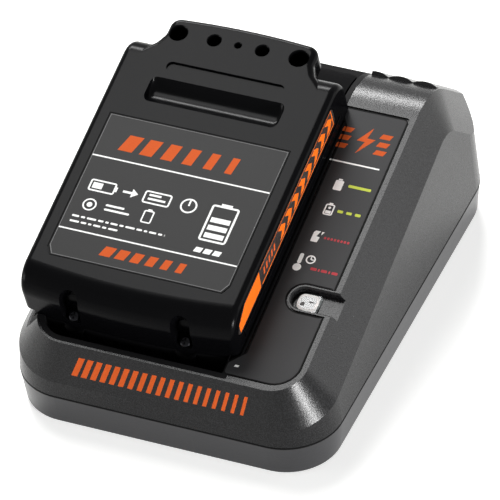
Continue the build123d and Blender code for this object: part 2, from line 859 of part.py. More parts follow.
# transformer: an E-core around a bobbin
core = block(-core_w / 2, core_w / 2, -core_d / 2, core_d / 2, 0, core_h)
window_half = core_w / 2 - core_leg / 2
core_window = block(-window_half, window_half, -core_d, core_d, core_leg / 2, core_h - core_leg / 2)
core_centre = block(-core_leg / 2, core_leg / 2, -core_window_d / 2, core_window_d / 2, 0, core_h)
core_sides = core - core_window
core_sides = core_sides & block(-core_w, core_w, -core_window_d / 2, core_window_d / 2, 0, core_h)
core_body = core_sides + core_centre
core_seat = seat + bobbin_stand
save(Pos(core_x, core_y, core_seat) * core_body, "transformer_core")

bobbin_half = window_half - fit
bobbin_low = core_leg / 2 + fit
bobbin_high = core_h - core_leg / 2 - fit
bobbin_d = core_d / 2
sleeve = block(-core_leg / 2 - bobbin_flange, core_leg / 2 + bobbin_flange,
               -core_window_d / 2 - bobbin_flange, core_window_d / 2 + bobbin_flange, bobbin_low, bobbin_high)
flanges = joined([
    block(-bobbin_half, bobbin_half, -bobbin_d, bobbin_d, bobbin_low, bobbin_low + bobbin_flange),
    block(-bobbin_half, bobbin_half, -bobbin_d, bobbin_d, bobbin_high - bobbin_flange, bobbin_high),
])
bore_gap = block(-core_leg / 2 - fit, core_leg / 2 + fit, -core_window_d / 2 - fit, core_window_d / 2 + fit,
                 0, core_h)
rail_mid = core_window_d / 2 + bobbin_flange / 2 + fit
pin_rails = joined(
    block(-bobbin_half, bobbin_half, side * rail_mid - bobbin_flange / 2,
          side * rail_mid + bobbin_flange / 2, -bobbin_stand, bobbin_low + tiny)
    for side in (-1, 1)
)
bobbin = sleeve + flanges + pin_rails - bore_gap
save(Pos(core_x, core_y, core_seat) * bobbin, "transformer_bobbin")
winding_out = block(-bobbin_half + winding_margin, bobbin_half - winding_margin, -bobbin_d + winding_margin,
                    bobbin_d - winding_margin, bobbin_low + bobbin_flange + touch,
                    bobbin_high - bobbin_flange - touch)
winding_out = fillet(winding_out.edges().filter_by(Axis.Z), core_leg / 4)
winding_in = block(-core_leg / 2 - bobbin_flange - touch, core_leg / 2 + bobbin_flange + touch,
                   -core_window_d / 2 - bobbin_flange - touch, core_window_d / 2 + bobbin_flange + touch,
                   0, core_h)
save(Pos(core_x, core_y, core_seat) * (winding_out - winding_in), "transformer_winding")

# capacitors, each with its rolled groove near the foot
capacitors = []
for x, y, radius, height in cap_spots:
    can = rod(x, y, seat, seat + height, radius)
    can = fillet(can.faces().sort_by(Axis.Z)[-1].edges(), cap_groove)
    ring = rod(x, y, seat + cap_groove_z, seat + cap_groove_z + 1, radius + 1)
    ring = ring - rod(x, y, seat, seat + height, radius - cap_groove)
    capacitors.append(can - ring)
save(group(capacitors), "capacitors")

# choke: a ring core standing on edge, wound with separate turns
ring_z = seat + choke_r + 2 * choke_wire
ring_spot = Pos(choke_x, choke_y, ring_z) * Rot(90, 0, 0)
ring_core = Cylinder(choke_r, choke_w) - Cylinder(choke_bore_r, choke_w + 1)
save(ring_spot * ring_core, "choke_core")
turn_out = (choke_r - choke_bore_r) + 2 * touch + 2 * choke_wire
turn_high = choke_w + 2 * touch + 2 * choke_wire
turns = []
for k in range(choke_turns):
    angle = 360 * k / choke_turns
    frame_out = Box(turn_out, choke_wire, turn_high)
    frame_in = Box(turn_out - 2 * choke_wire, choke_wire + 1, turn_high - 2 * choke_wire)
    loop = Pos((choke_r + choke_bore_r) / 2, 0, 0) * (frame_out - frame_in)
    turns.append(ring_spot * Rot(0, 0, angle + 180 / choke_turns) * loop)
save(group(turns), "choke_winding")

# heat sink with two power devices screwed to it
plate = block(sink_x - sink_t, sink_x, sink_y0, sink_y1, seat, seat + sink_h)
fin_pitch = (sink_y1 - sink_y0 - sink_fin_t) / (sink_fins - 1)
fins = joined(
    block(sink_x - sink_t - sink_fin_w, sink_x - sink_t + tiny, sink_y0 + k * fin_pitch,
          sink_y0 + k * fin_pitch + sink_fin_t, seat + board_t, seat + sink_h)
    for k in range(sink_fins)
)
sink_holes = joined(
    Pos(sink_x, y, seat + chip_screw_z) * Rot(0, 90, 0) * Cylinder(chip_screw_bore_r, 4 * sink_t)
    for y in chip_ys
)
save(plate + fins - sink_holes, "heat_sink")
devices = []
for y in chip_ys:
    device = block(sink_x + touch, sink_x + touch + chip_t, y - chip_w / 2, y + chip_w / 2, seat + chip_z,
                   seat + chip_z + chip_h)
    for k in (-1, 0, 1):
        leg_y = y + k * chip_w / 4
        leg_x0 = sink_x + chip_t / 2
        device = device + block(leg_x0, leg_x0 + clip_t, leg_y - clip_t, leg_y + clip_t,
                                seat, seat + chip_z + tiny)
    hole = Pos(sink_x, y, seat + chip_screw_z) * Rot(0, 90, 0) * Cylinder(chip_screw_bore_r, 4 * chip_t)
    devices.append(device - hole)
save(group(devices), "power_devices")
device_screw = pan_screw(chip_screw_r, chip_t + sink_t, chip_screw_head_r, chip_screw_head_t, chip_screw_r,
                         chip_screw_head_t / 2)
device_face = sink_x + 2 * touch + chip_t
save(
    group(Pos(device_face, y, seat + chip_screw_z) * Rot(0, -90, 0) * device_screw for y in chip_ys),
    "device_screws",
)

# fuse in its two clips
fuse_z = seat + fuse_r + 2 * clip_t
glass = Pos(fuse_x, fuse_y, fuse_z) * Rot(0, 90, 0) * Cylinder(fuse_r - clip_t / 2, fuse_len - 2 * fuse_cap)
caps = []
for side in (-1, 1):
    spot = Pos(fuse_x + side * (fuse_len - fuse_cap) / 2, fuse_y, fuse_z) * Rot(0, 90, 0)
    caps.append(spot * Cylinder(fuse_r, fuse_cap))
fuse = glass + caps[0] + caps[1]
save(fuse, "fuse")
clips = []
for side in (-1, 1):
    spot = Pos(fuse_x + side * (fuse_len - fuse_cap) / 2, fuse_y, fuse_z) * Rot(0, 90, 0)
    cup = Cylinder(fuse_r + clip_gap + clip_t, clip_w) - Cylinder(fuse_r + clip_gap, clip_w + 1)
    cup = cup & (Pos(fuse_r, 0, 0) * Box(3 * fuse_r, 4 * fuse_r, clip_w))
    low = block(fuse_x + side * (fuse_len - fuse_cap) / 2 - clip_w / 2,
                fuse_x + side * (fuse_len - fuse_cap) / 2 + clip_w / 2,
                fuse_y - fuse_r / 2, fuse_y + fuse_r / 2, seat, fuse_z - fuse_r - clip_gap - tiny)
    clips.append(spot * cup + low)
save(group(clips), "fuse_clips")

inlet = block(inlet_x - inlet_w / 2, inlet_x + inlet_w / 2, inlet_y - inlet_d / 2, inlet_y + inlet_d / 2,
              seat, seat + inlet_h)
inlet_holes = joined(
    rod_y(inlet_x + side * inlet_w / 4, seat + inlet_h / 2, inlet_y, inlet_y + inlet_d, inlet_hole_r)
    for side in (-1, 1)
)
inlet_tops = joined(
    rod(inlet_x + side * inlet_w / 4, inlet_y - inlet_d / 4, seat + inlet_h - 1, seat + inlet_h + 1,
        inlet_hole_r)
    for side in (-1, 1)
)
save(inlet - inlet_holes - inlet_tops, "mains_terminal")
chip_bodies = [block(x, x + w, y, y + d, seat, seat + t) for x, y, w, d, t in chips]
save(group(chip_bodies), "control_chips")

# ================================================================ status lights
led_mid_x = notch_x0 + notch_half
light_board = block(led_mid_x - led_board_w / 2, led_mid_x + led_board_w / 2, notch_s - led_board_d / 2,
                    notch_s + led_board_d / 2, -led_board_drop - led_board_t - touch, -led_board_drop - touch)
light_holes = joined(rod(x, s, -2 * led_board_drop, 0, board_hole_r) for x, s in pillar_spots)
save(on_deck(carved(light_board, light_holes)), "light_board")
light_low = -led_board_drop - led_board_t - 2 * touch
light_screws = [Pos(x, s, light_low) * pan_screw(board_screw_r, board_screw_len, board_head_r, board_head_h,
                                                 board_screw_r, board_head_h / 2) for x, s in pillar_spots]
save(group(on_deck(screw) for screw in light_screws), "light_board_screws")
light_face = -led_board_drop
lights = []
for side in (-1, 1):
    x = lens_mid_x + side * led_gap / 2
    bulb = rod(x, notch_s, light_face, light_face + led_h / 2, led_r)
    lights.append(fillet(bulb.faces().sort_by(Axis.Z)[-1].edges(), led_round))
save(group(on_deck(light) for light in lights), "status_lights")

# ================================================================ dock contacts
contact_block = block(dock_x - block_half, dock_x + block_half, block_s0, block_s1,
                      block_top - block_h, block_top)
block_slots = joined(
    block(x - blade_t / 2 - touch, x + blade_t / 2 + touch, blade_s0 - touch, blade_s1 + touch,
          blade_low, block_top + 1)
    for x in contact_xs
)
block_holes = joined(
    rod(dock_x + side * block_screw_x, block_mid_s, block_top - block_h - 1, block_top + 1, board_hole_r)
    for side in (-1, 1)
)
save(on_deck(carved(contact_block, block_slots, block_holes)), "contact_block")
blades = []
for x in contact_xs:
    blade = block(x - blade_t / 2, x + blade_t / 2, blade_s0, blade_s1, blade_low + touch, blade_top)
    rear_top = blade.edges().filter_by(Axis.X).sort_by(lambda e: e.center().Z + e.center().Y)[-1]
    blades.append(chamfer(rear_top, 2 * blade_t))
save(group(on_deck(blade) for blade in blades), "dock_blades")
block_screws = [
    Pos(dock_x + side * block_screw_x, block_mid_s, block_top - block_h - touch) * small_screw
    for side in (-1, 1)
]
save(group(on_deck(screw) for screw in block_screws), "contact_block_screws")

# ================================================================ pack shells
pack_x0 = dock_x - pack_half
pack_x1 = dock_x + pack_half
base_x0 = dock_x - base_half
base_x1 = dock_x + base_half


def front_at(dx):
    """The bowed front of the pack, this far from its middle."""
    return pack_front + pack_bow * (dx / pack_half) ** 2


def pack_prism(inset, rear, h0, h1, corner):
    """The pack's plan with its bowed front, as a prism."""
    half = pack_half - inset
    s0 = pack_front + inset
    left = (dock_x - half, s0 + pack_bow, h0)
    mid = (dock_x, s0, h0)
    right = (dock_x + half, s0 + pack_bow, h0)
    edges = [
        Edge.make_three_point_arc(left, mid, right),
        Edge.make_line(right, (dock_x + half, rear, h0)),
        Edge.make_line((dock_x + half, rear, h0), (dock_x - half, rear, h0)),
        Edge.make_line((dock_x - half, rear, h0), left),
    ]
    prism = extrude(Face(Wire(edges)), h1 - h0, dir=(0, 0, 1))
    return fillet(prism.edges().filter_by(Axis.Z), corner) if corner else prism


def softened(prism, inset, rear, roll, edge):
    """The big radius over the front and the rear of a prism, then a small one along its sides."""
    h_top = pack_top - inset
    half = pack_half - inset
    front_zone = pack_front + roll + pack_bow
    ends = [e for e in prism.edges() if abs(e.center().Z - h_top) < tiny]
    ends = sorted(ends, key=lambda e: e.center().Y)
    prism = fillet(ends[0], roll)
    if rear:
        ends = [e for e in prism.edges() if abs(e.center().Z - h_top) < tiny]
        prism = fillet(sorted(ends, key=lambda e: e.center().Y)[-1], roll)
    rim = []
    for e in prism.edges():
        middle = e.center()
        across_rear = rear and abs(middle.Y - pack_rear + roll) < tiny
        on_top = abs(middle.Z - h_top) < tiny and middle.Y > front_zone + edge and not across_rear
        near_end = middle.Y < front_zone or (rear and middle.Y > pack_rear - roll)
        on_side = abs(abs(middle.X - dock_x) - half) < tiny and middle.Z > pack_edge
        if on_top or (on_side and near_end):
            rim.append(e)
    return fillet(rim, edge)


pocket_spots = [dock_x - pocket_x, dock_x + pocket_x]


def pocket_frame(x):
    """A frame on the screw's axis: z = 0 on the pocket floor, z points out of the pocket."""
    lean = math.radians(pocket_tilt)
    s = pocket_s + (pocket_h - pocket_floor) * math.tan(lean)
    return Plane(origin=(x, s, pocket_floor), x_dir=(1, 0, 0), z_dir=(0, -math.sin(lean), math.cos(lean)))


def along_s(x, h, s0, s1, radius):
    """A cylinder along s."""
    return Pos(x, (s0 + s1) / 2, h) * Rot(90, 0, 0) * Cylinder(radius, s1 - s0)


front_zone_s = pack_front + pack_roll
shoulder_half = lip_half + lip_flare
lip_points = [
    (lip_half, pack_rear + lip_shoulder),
    (lip_half + lip_shoulder, pack_rear - lip_shoulder),
    (shoulder_half, pack_rear - pack_roll),
    (shoulder_half, pack_rear - pack_roll - lip_edge),
]


def uprights(shape, s0, s1):
    """The upright edges between two places along the pack."""
    return [e for e in shape.edges().filter_by(Axis.Z) if s0 < e.center().Y < s1]


def lip_form():
    """The lip that stands out behind the pack, with its flanks run out into the shoulders."""
    rear_right = (dock_x + lip_half, lip_rear, skirt)
    rear_left = (dock_x - lip_half, lip_rear, skirt)
    left = [(dock_x - x, s, skirt) for x, s in lip_points]
    right = [(dock_x + x, s, skirt) for x, s in reversed(lip_points)]
    run = [rear_left] + left + right + [rear_right]
    edges = [Edge.make_three_point_arc(rear_right, (dock_x, lip_rear + lip_bow, skirt), rear_left)]
    edges = edges + [Edge.make_line(a, b) for a, b in zip(run, run[1:])]
    prism = extrude(Face(Wire(edges)), pack_top - skirt, dir=(0, 0, 1))
    prism = fillet(uprights(prism, lip_rear - tiny, lip_rear + tiny), lip_corner)
    flanks = uprights(prism, pack_rear - pack_roll + tiny, lip_rear - lip_corner - tiny)
    prism = fillet(flanks, lip_round)
    inner_s = pack_rear - pack_roll - lip_edge
    rim = [e for e in prism.edges() if abs(e.center().Z - pack_top) < tiny]
    return fillet([e for e in rim if e.center().Y > inner_s + tiny], pack_edge)


body = softened(pack_prism(0, pack_rear, skirt, pack_top, 0), 0, True, pack_roll, pack_edge)
body = body + lip_form()
body = body - block(pack_x0, pack_x1, pack_rear, 2 * pack_rear, 0, lip_low)
body = body - block(dock_x - grip_half, dock_x + grip_half, grip_s, 2 * pack_rear, 0, lip_low)
front_low = pack_prism(0, grip_s, seam, skirt + tiny, pack_edge)
front_low = front_low & block(base_x0, base_x1, 0, front_zone_s, seam, skirt + tiny)
inner_rear = grip_s - pack_wall
inner_top = pack_prism(pack_wall, inner_rear, skirt + plate_t, pack_top - pack_wall, 0)
inner_top = softened(inner_top, pack_wall, False, pack_roll - pack_wall, pack_edge / 2)
plate_top = skirt + plate_t + tiny
inner_plate = pack_prism(pack_wall, inner_rear, seam - 1, plate_top, pack_corner / 2)
plate_zone = block(dock_x - inner_half, dock_x + inner_half, 0, inner_rear, seam - 1, plate_top)
inner_plate = inner_plate & plate_zone
hull = body + front_low
cavity = inner_top + inner_plate

front_bosses = []
pockets = []
screw_paths = []
bumps = []
upright = (Align.CENTER, Align.CENTER, Align.MIN)
first_cell_s = cell_mid_s - (cell_count - 1) / 2 * cell_pitch
first_cell_axis = Pos(dock_x, first_cell_s, cell_h) * Rot(0, 90, 0)
first_cell_r = cell_r + holder_wall + fit
first_cell_room = first_cell_axis * Cylinder(first_cell_r, 2 * pack_half)
first_cell_skin = first_cell_axis * Cylinder(first_cell_r + cell_skin, 2 * pack_half)
for x in pocket_spots:
    frame = pocket_frame(x).location
    boss_w = 2 * (pocket_r + boss_wall)
    around = SlotOverall(boss_w + pocket_long, boss_w, rotation=90)
    boss = frame * Pos(0, pocket_long / 2, -boss_wall) * extrude(around, pack_top)
    front_bosses.append(boss)
    bore = frame * Cylinder(pocket_r, 2 * pack_top, align=upright)
    bore = bore + frame * Pos(0, pocket_long, 0) * Cylinder(pocket_r, 2 * pack_top, align=upright)
    between = Box(2 * pocket_r, pocket_long, 2 * pack_top, align=upright)
    bore = bore + frame * Pos(0, pocket_long / 2, 0) * between
    window = along_s(x, pocket_front_h, 0, front_zone_s, pocket_front_r)
    window = window + block(x - pocket_front_r, x + pocket_front_r, 0, front_zone_s, pocket_front_h, pack_top)
    head_room = frame * Cylinder(pack_screw_head_r + 2 * fit, 2 * pack_screw_head_h, align=upright)
    pockets.append((bore & window) - first_cell_skin + head_room)
    screw_paths.append(frame * Cylinder(pack_screw_bore_r + touch, 2 * pack_screw_len))
    bumps.append(along_s(x, bump_h, 0, front_zone_s, bump_r) & block(
        x - bump_r, x + bump_r, 0, front_zone_s, -bump_r, bump_h))
bump_bodies = joined(bumps) & pack_prism(0, grip_s, -bump_r, pack_top, pack_corner)
bump_bodies = bump_bodies - pack_prism(pack_wall, grip_s, -bump_r - 1, pack_top, pack_corner / 2)
inside = joined(front_bosses) & pack_prism(tiny, grip_s, -bump_r, pack_top - pack_wall / 2, pack_corner)
inside = inside & block(pack_x0, pack_x1, 0, front_zone_s + pack_wall, seam, pack_top)
inside = inside - first_cell_room
top_shell = hull - cavity
top_shell = top_shell + (inside & hull) + bump_bodies
top_shell = carved(top_shell, *pockets, *screw_paths)

for dx, radius in lip_holes:
    hole = rod(dock_x + dx, lip_hole_s, pack_top - lip_hole_depth, pack_top + lip_hole_edge, radius)
    flare = Cone(radius, radius + 2 * lip_hole_edge, 2 * lip_hole_edge)
    top_shell = top_shell - (hole + Pos(dock_x + dx, lip_hole_s, pack_top) * flare)
pill_mid = (pill_s0 + pill_s1) / 2
pill = Pos(dock_x, pill_mid, pack_top - pill_depth) * extrude(
    SlotOverall(2 * pill_half, pill_s1 - pill_s0), 2 * pill_depth
)
groove_r = groove_half_w ** 2 / (2 * groove_depth) + groove_depth / 2
groove_spot = Pos(dock_x, groove_s, pack_top - groove_depth + groove_r) * Rot(0, 90, 0)
groove_bar = Cylinder(groove_r, 2 * groove_half)
groove = groove_spot * fillet(groove_bar.edges(), groove_round)
groove_back = groove_spot * Cylinder(groove_r + groove_skin, 2 * (groove_half + groove_skin))
groove_back = groove_back & block(pack_x0, pack_x1, 0, grip_s, 0, pack_top - pack_wall + tiny)
top_shell = top_shell + groove_back - pill - groove


def label_points(grow):
    """Outline of the main label."""
    x0 = dock_x + label_x0 - grow
    x1 = dock_x + label_x1 + grow
    s0 = label_s0 - grow
    s1 = label_s1 + grow
    return [
        (x0, s1), (x0, s0 + label_cut_s), (x0 + label_cut_x, s0),
        (x1 - label_cut_x, s0), (x1, s0 + label_cut_s), (x1, s1),
    ]


def side_points(grow):
    """Outline of a side label, as (s, h)."""
    low = side_low - grow
    high = side_high + grow
    nose = side_s0 - grow
    tail = side_s1 + grow
    return [
        (nose, low + side_round), (nose + side_round, low),
        (tail, low), (tail + side_round, low + side_round),
        (tail + side_round, high - side_round), (tail, high), (nose + side_nose, high),
        (nose + side_round, high - side_nose / 2),
    ]


def side_plate(grow, x0, x1):
    """A plate of the side label's outline between two x planes."""
    face = make_face(Polyline(*[(x0, s, h) for s, h in side_points(grow)], close=True))
    return extrude(face, x1 - x0, dir=(1, 0, 0))


label_seat = outline(label_points(label_margin), pack_top - label_recess, pack_top + 1)
top_shell = top_shell - label_seat
top_shell = top_shell - side_plate(label_margin, pack_x1 - label_recess, pack_x1 + 1)
top_shell = top_shell - side_plate(label_margin, pack_x0 - 1, pack_x0 + label_recess)
bands = joined([
    block(pack_x1 - tiny, pack_x1 + band_proud, band_s0, band_s1, band_low, band_high),
    block(pack_x0 - band_proud, pack_x0 + tiny, band_s0, band_s1, band_low, band_high),
])
bands = chamfer(bands.edges().filter_by(Axis.Y), band_proud / 2)
top_shell = top_shell + bands
save(on_deck(top_shell), "pack_top_shell")

label_low = pack_top - label_recess
label = outline(label_points(0), label_low + touch / 2, label_low + label_t)
save(on_deck(label), "pack_label")
right_label = side_plate(0, pack_x1 - label_recess + touch / 2, pack_x1 - label_recess + label_t)
left_label = side_plate(0, pack_x0 + label_recess - label_t, pack_x0 + label_recess - touch / 2)
save(on_deck(right_label), "side_label_right")
save(on_deck(left_label), "side_label_left")

# ---------------------------------------------------------------- rail side
base = pack_prism(0, base_rear, base_low, skirt - touch, pack_corner)
base = base & block(base_x0, base_x1, 0, base_rear, base_low, skirt - touch)
base_corners = [e for e in base.edges().filter_by(Axis.Z)]
base = fillet(base_corners, base_wall)
roll_drop = -tail_top
start, mid, end, foot = roll_points(roll_drop)
roll_edges = [
    Edge.make_line((-form_half, 0, -roll_drop), (-form_half, *start)),
    Edge.make_three_point_arc((-form_half, *start), (-form_half, *mid), (-form_half, *end)),
    Edge.make_line((-form_half, *end), (-form_half, *foot)),
    Edge.make_line((-form_half, *foot), (-form_half, foot[0], -form_depth)),
    Edge.make_line((-form_half, foot[0], -form_depth), (-form_half, 0, -form_depth)),
    Edge.make_line((-form_half, 0, -form_depth), (-form_half, 0, -roll_drop)),
]
roll_solid = extrude(Face(Wire(roll_edges)), 2 * form_half, dir=(1, 0, 0))
bay_keep = block(-form_half, form_half, 0, tail_s, -form_depth, form_half)
base = (base & bay_keep) + (base & roll_solid)
front_cut = block(base_x0 - 1, base_x1 + 1, 0, front_zone_s + fit, seam - seam_gap, skirt + 1)
rail_slots = [
    block(base_x0 - 1, base_x0 + rail_in + slot_clear - (channel_half - base_half), 0, base_rear + 1,
          rail_low - slot_clear, rail_high + slot_clear),
    block(base_x1 - rail_in - slot_clear + (channel_half - base_half), base_x1 + 1, 0, base_rear + 1,
          rail_low - slot_clear, rail_high + slot_clear),
]
base = base - front_cut
base = carved(base, *rail_slots)
for x in pocket_spots:
    base = base - along_s(x, bump_h, 0, front_zone_s, bump_r + seam_gap)
bay_step_h = rail_high + 2 * slot_clear + base_wall / 2
bay_high_half = base_half - base_wall
bay_low_half = base_half - rail_wall
bay_high = block(dock_x - bay_high_half, dock_x + bay_high_half, 0, tail_s - base_wall,
                 bay_step_h, form_half)
bay_low = block(dock_x - bay_low_half, dock_x + bay_low_half, 0, tail_s - base_wall,
                base_low + base_wall, form_half)
bay = (bay_high + bay_low) & pack_prism(base_wall, base_rear, base_low, form_half, pack_corner / 2)
tail_bay = block(dock_x - bay_low_half, dock_x + bay_low_half, tail_s + tail_wall,
                 base_rear - tail_wall, base_low + tail_wall, tail_top - tail_wall)
tail_bay = tail_bay & (Pos(0, 0, -tail_wall) * roll_solid)
contact_slots = joined(
    block(x - contact_slot_half, x + contact_slot_half, 0, contact_slot_s1, base_low - 1, contact_slot_top)
    for x in contact_xs
)


def tapered_tab(x):
    """The tab under a pocket: it narrows downwards and its front edges are rounded."""
    front_s = front_at(pocket_x) - mark_out
    points = [
        (x - mark_half, seam - seam_gap), (x - mark_low_half, mark_low),
        (x + mark_low_half, mark_low), (x + mark_half, seam - seam_gap),
    ]
    face = make_face(Polyline(*[(px, front_s, h) for px, h in points], close=True))
    tab = extrude(face, mark_out + base_wall / 2, dir=(0, 1, 0))
    foot = [e for e in tab.edges().filter_by(Axis.Y) if abs(e.center().Z - mark_low) < tiny]
    tab = fillet(foot, mark_foot_r)
    front = [e for e in tab.edges() if abs(e.center().Y - front_s) < tiny]
    return fillet([e for e in front if e.center().Z < seam - seam_gap - tiny], mark_edge)


posts = []
post_bores = []
front_marks = []
for x in pocket_spots:
    frame = pocket_frame(x).location
    reach = pocket_floor - post_low
    post = frame * Pos(0, 0, -reach) * Cylinder(post_r, reach - boss_wall - seam_gap, align=upright)
    post = post - along_s(x, bump_h, 0, front_zone_s, bump_r + seam_gap)
    posts.append(post & block(x - post_r, x + post_r, front_at(pocket_x) + base_wall / 2, front_zone_s,
                              base_low + tiny, seam))
    screw_bore = Cylinder(pack_screw_bore_r, pack_screw_len + touch, align=upright)
    post_bores.append(frame * Pos(0, 0, -pack_screw_len - touch) * screw_bore)
    front_marks.append(tapered_tab(x) - along_s(x, bump_h, 0, front_zone_s, bump_r + seam_gap))
latch_holes = joined([
    block(dock_x + side * leg_x - leg_half - latch_clear, dock_x + side * leg_x + leg_half + latch_clear,
          leg_s0 - latch_clear, leg_s1 + latch_clear, tail_top - 3 * tail_wall, tail_top + 1)
    for side in (-1, 1)
] + [
    block(dock_x - tongue_half - latch_clear, dock_x + tongue_half + latch_clear, tongue_s0 - latch_clear,
          tongue_s1 + latch_clear, base_low - 1, base_low + 2 * tail_wall)
])
rail_shell = carved(base - bay, tail_bay, contact_slots, latch_holes)
rail_shell = joined([rail_shell] + front_marks + posts)
rail_shell = carved(rail_shell, *post_bores)
save(on_deck(rail_shell), "pack_rail_shell")

pack_screw = pan_screw(pack_screw_r, pack_screw_len, pack_screw_head_r, pack_screw_head_h, pack_screw_r,
                       pack_screw_head_h / 2)
turned_screw = Pos(0, 0, touch) * Rot(180, 0, 0) * pack_screw
pack_screws = [pocket_frame(x).location * turned_screw for x in pocket_spots]
save(group(on_deck(screw) for screw in pack_screws), "pack_screws")

# ================================================================ cells
cell_spots = [cell_mid_s + (k - (cell_count - 1) / 2) * cell_pitch for k in range(cell_count)]
along_x = Rot(0, 90, 0)
can_len = cell_len - cell_nub
cells = []
for k, s in enumerate(cell_spots):
    face = 1 if k % 2 else -1
    can = Cylinder(cell_r, can_len)
    can = fillet(can.edges(), cell_groove)
    ring = Pos(0, 0, can_len / 2 - cell_groove_at) * (Cylinder(cell_r + 1, cell_groove * 3)
                                                      - Cylinder(cell_r - cell_groove, cell_groove * 4))
    nub = rod(0, 0, can_len / 2 - tiny, can_len / 2 + cell_nub, cell_nub_r)
    cell = Pos(0, 0, -cell_nub / 2) * (can - ring + nub)
    cells.append(Pos(dock_x, s, cell_h) * (along_x * (cell if face > 0 else Rot(180, 0, 0) * cell)))
save(group(on_deck(cell) for cell in cells), "cells")

bore_r = cell_r + holder_clear
holder_r = bore_r + holder_wall
holder_out = cell_len / 2 + strip_gap


def stadium(x0, x1, radius):
    """A plate with round ends around the first and last cell."""
    ends = joined(
        Pos((x0 + x1) / 2, s, cell_h) * along_x * Cylinder(radius, x1 - x0)
        for s in (cell_spots[0], cell_spots[-1])
    )
    return ends + block(x0, x1, cell_spots[0], cell_spots[-1], cell_h - radius, cell_h + radius)


def holder(side):
    """The frame that carries the five cells at one end."""
    x_in = dock_x + side * (cell_len / 2 - holder_t)
    x_out = dock_x + side * holder_out
    x0 = min(x_in, x_out)
    x1 = max(x_in, x_out)
    plate = stadium(x0, x1, holder_r) & block(x0, x1, 0, base_rear, bay_step_h + 2 * touch, pack_top)
    for s in cell_spots:
        plate = plate - Pos((x0 + x1) / 2, s, cell_h) * along_x * Cylinder(bore_r, 2 * holder_t)
    return plate


save(on_deck(holder(-1)), "cell_holder_left")
save(on_deck(holder(1)), "cell_holder_right")


def strip(side, first, last):
    """A nickel strip over the ends of neighbouring cells."""
    x0 = dock_x + side * (cell_len / 2 + strip_gap)
    x1 = x0 + side * strip_t
    return block(min(x0, x1), max(x0, x1), cell_spots[first] - strip_w / 2, cell_spots[last] + strip_w / 2,
                 cell_h - strip_w / 2, cell_h + strip_w / 2)


strips = [strip(-1, 0, 0), strip(-1, 1, 2), strip(-1, 3, 4), strip(1, 0, 1), strip(1, 2, 3), strip(1, 4, 4)]
save(group(on_deck(s) for s in strips), "cell_strips")

pad_low = cell_h + cell_r + pad_gap
pad_half = cell_len / 2 - holder_t - fit
foam = joined(
    block(dock_x - pad_half, dock_x + pad_half, s - strip_w / 2, s + strip_w / 2, pad_low, pad_low + pad_t)
    for s in (cell_spots[0], cell_spots[1], cell_spots[2])
)
foam = foam + block(dock_x - pad_half, dock_x - pad_half + strip_w, cell_spots[0], cell_spots[2], pad_low,
                    pad_low + pad_t)
save(on_deck(foam), "foam_pad")

# ================================================================ pack electronics
pack_board = block(dock_x - pack_board_half, dock_x + pack_board_half, contact_slot_s1 + 2, pack_board_s1,
                   pack_board_h, pack_board_h + pack_board_t)
save(on_deck(pack_board), "pack_board")
pack_floor = base_low + base_wall
pack_posts = [
    rod(dock_x + side * (pack_board_half - pack_post_r), s, pack_floor + touch,
        pack_board_h - touch, pack_post_r)
    for side in (-1, 1)
    for s in (contact_slot_s1 + 2 + pack_post_r, pack_board_s1 - pack_post_r)
]
save(group(on_deck(post) for post in pack_posts), "board_spacers")
pack_chips = [
    block(dock_x + x, dock_x + x + w, s, s + d, pack_board_h + pack_board_t + touch,
          pack_board_h + pack_board_t + touch + pack_chip_t)
    for x, s, w, d in pack_chip_spots
]
save(group(on_deck(chip) for chip in pack_chips), "pack_chips")

receptacle = block(dock_x - receptacle_half, dock_x + receptacle_half, receptacle_s0, receptacle_s1,
                   pack_floor + touch, contact_slot_top + base_wall / 4)
receptacle_slots = joined(
    block(x - contact_slot_half, x + contact_slot_half, 0, receptacle_s1 - 1, base_low - 1, contact_slot_top)
    for x in contact_xs
)
save(on_deck(carved(receptacle, receptacle_slots)), "contact_receptacle")
clips = []
for x in contact_xs:
    gap = blade_t / 2 + touch
    leaf = clip_leaf
    legs = block(x - gap - leaf, x + gap + leaf, blade_s0 + leaf, blade_s0 + clip_len,
                 contact_slot_top - clip_high, contact_slot_top - touch)
    legs = legs - block(x - gap, x + gap, 0, contact_slot_s1, base_low, contact_slot_top - touch - leaf)
    clips.append(legs)
save(group(on_deck(clip) for clip in clips), "contact_clips")

# ================================================================ latch
bar = block(dock_x - bar_half, dock_x + bar_half, bar_s0, bar_s1, bar_low, bar_high)
bar = fillet(bar.edges().filter_by(Axis.X).group_by(Axis.Z)[-1], bar_round)
legs = joined(
    block(dock_x + side * leg_x - leg_half, dock_x + side * leg_x + leg_half, leg_s0, leg_s1,
          cross_low, bar_low + tiny)
    for side in (-1, 1)
)
cross = block(dock_x - cross_half, dock_x + cross_half, cross_s0, cross_s1, cross_low, cross_high)
tongue = block(dock_x - tongue_half, dock_x + tongue_half, tongue_s0, tongue_s1, tongue_low, cross_low + tiny)
tongue = chamfer(tongue.edges().filter_by(Axis.X).group_by(Axis.Z)[0].sort_by(Axis.Y)[0], base_wall / 2)
save(on_deck(bar + legs + cross + tongue), "release_latch")

spring_low = cross_high + spring_wire + 2 * touch
spring_far = spring_s + spring_r + spring_wire - roll_s
tail_roof = math.sqrt((roll_r - roll_drop) ** 2 - spring_far ** 2) - roll_r - tail_wall
spring_high = tail_roof - spring_wire - 4 * touch
springs = []
for side in (-1, 1):
    length = spring_high - spring_low
    path = Helix(length / spring_turns, length, spring_r)
    start = path @ 0
    heading = path % 0
    wire = sweep(Plane(origin=start, z_dir=heading) * Circle(spring_wire), path=path)
    springs.append(Pos(dock_x + side * spring_x, spring_s, spring_low) * wire)
save(group(on_deck(spring) for spring in springs), "latch_springs")
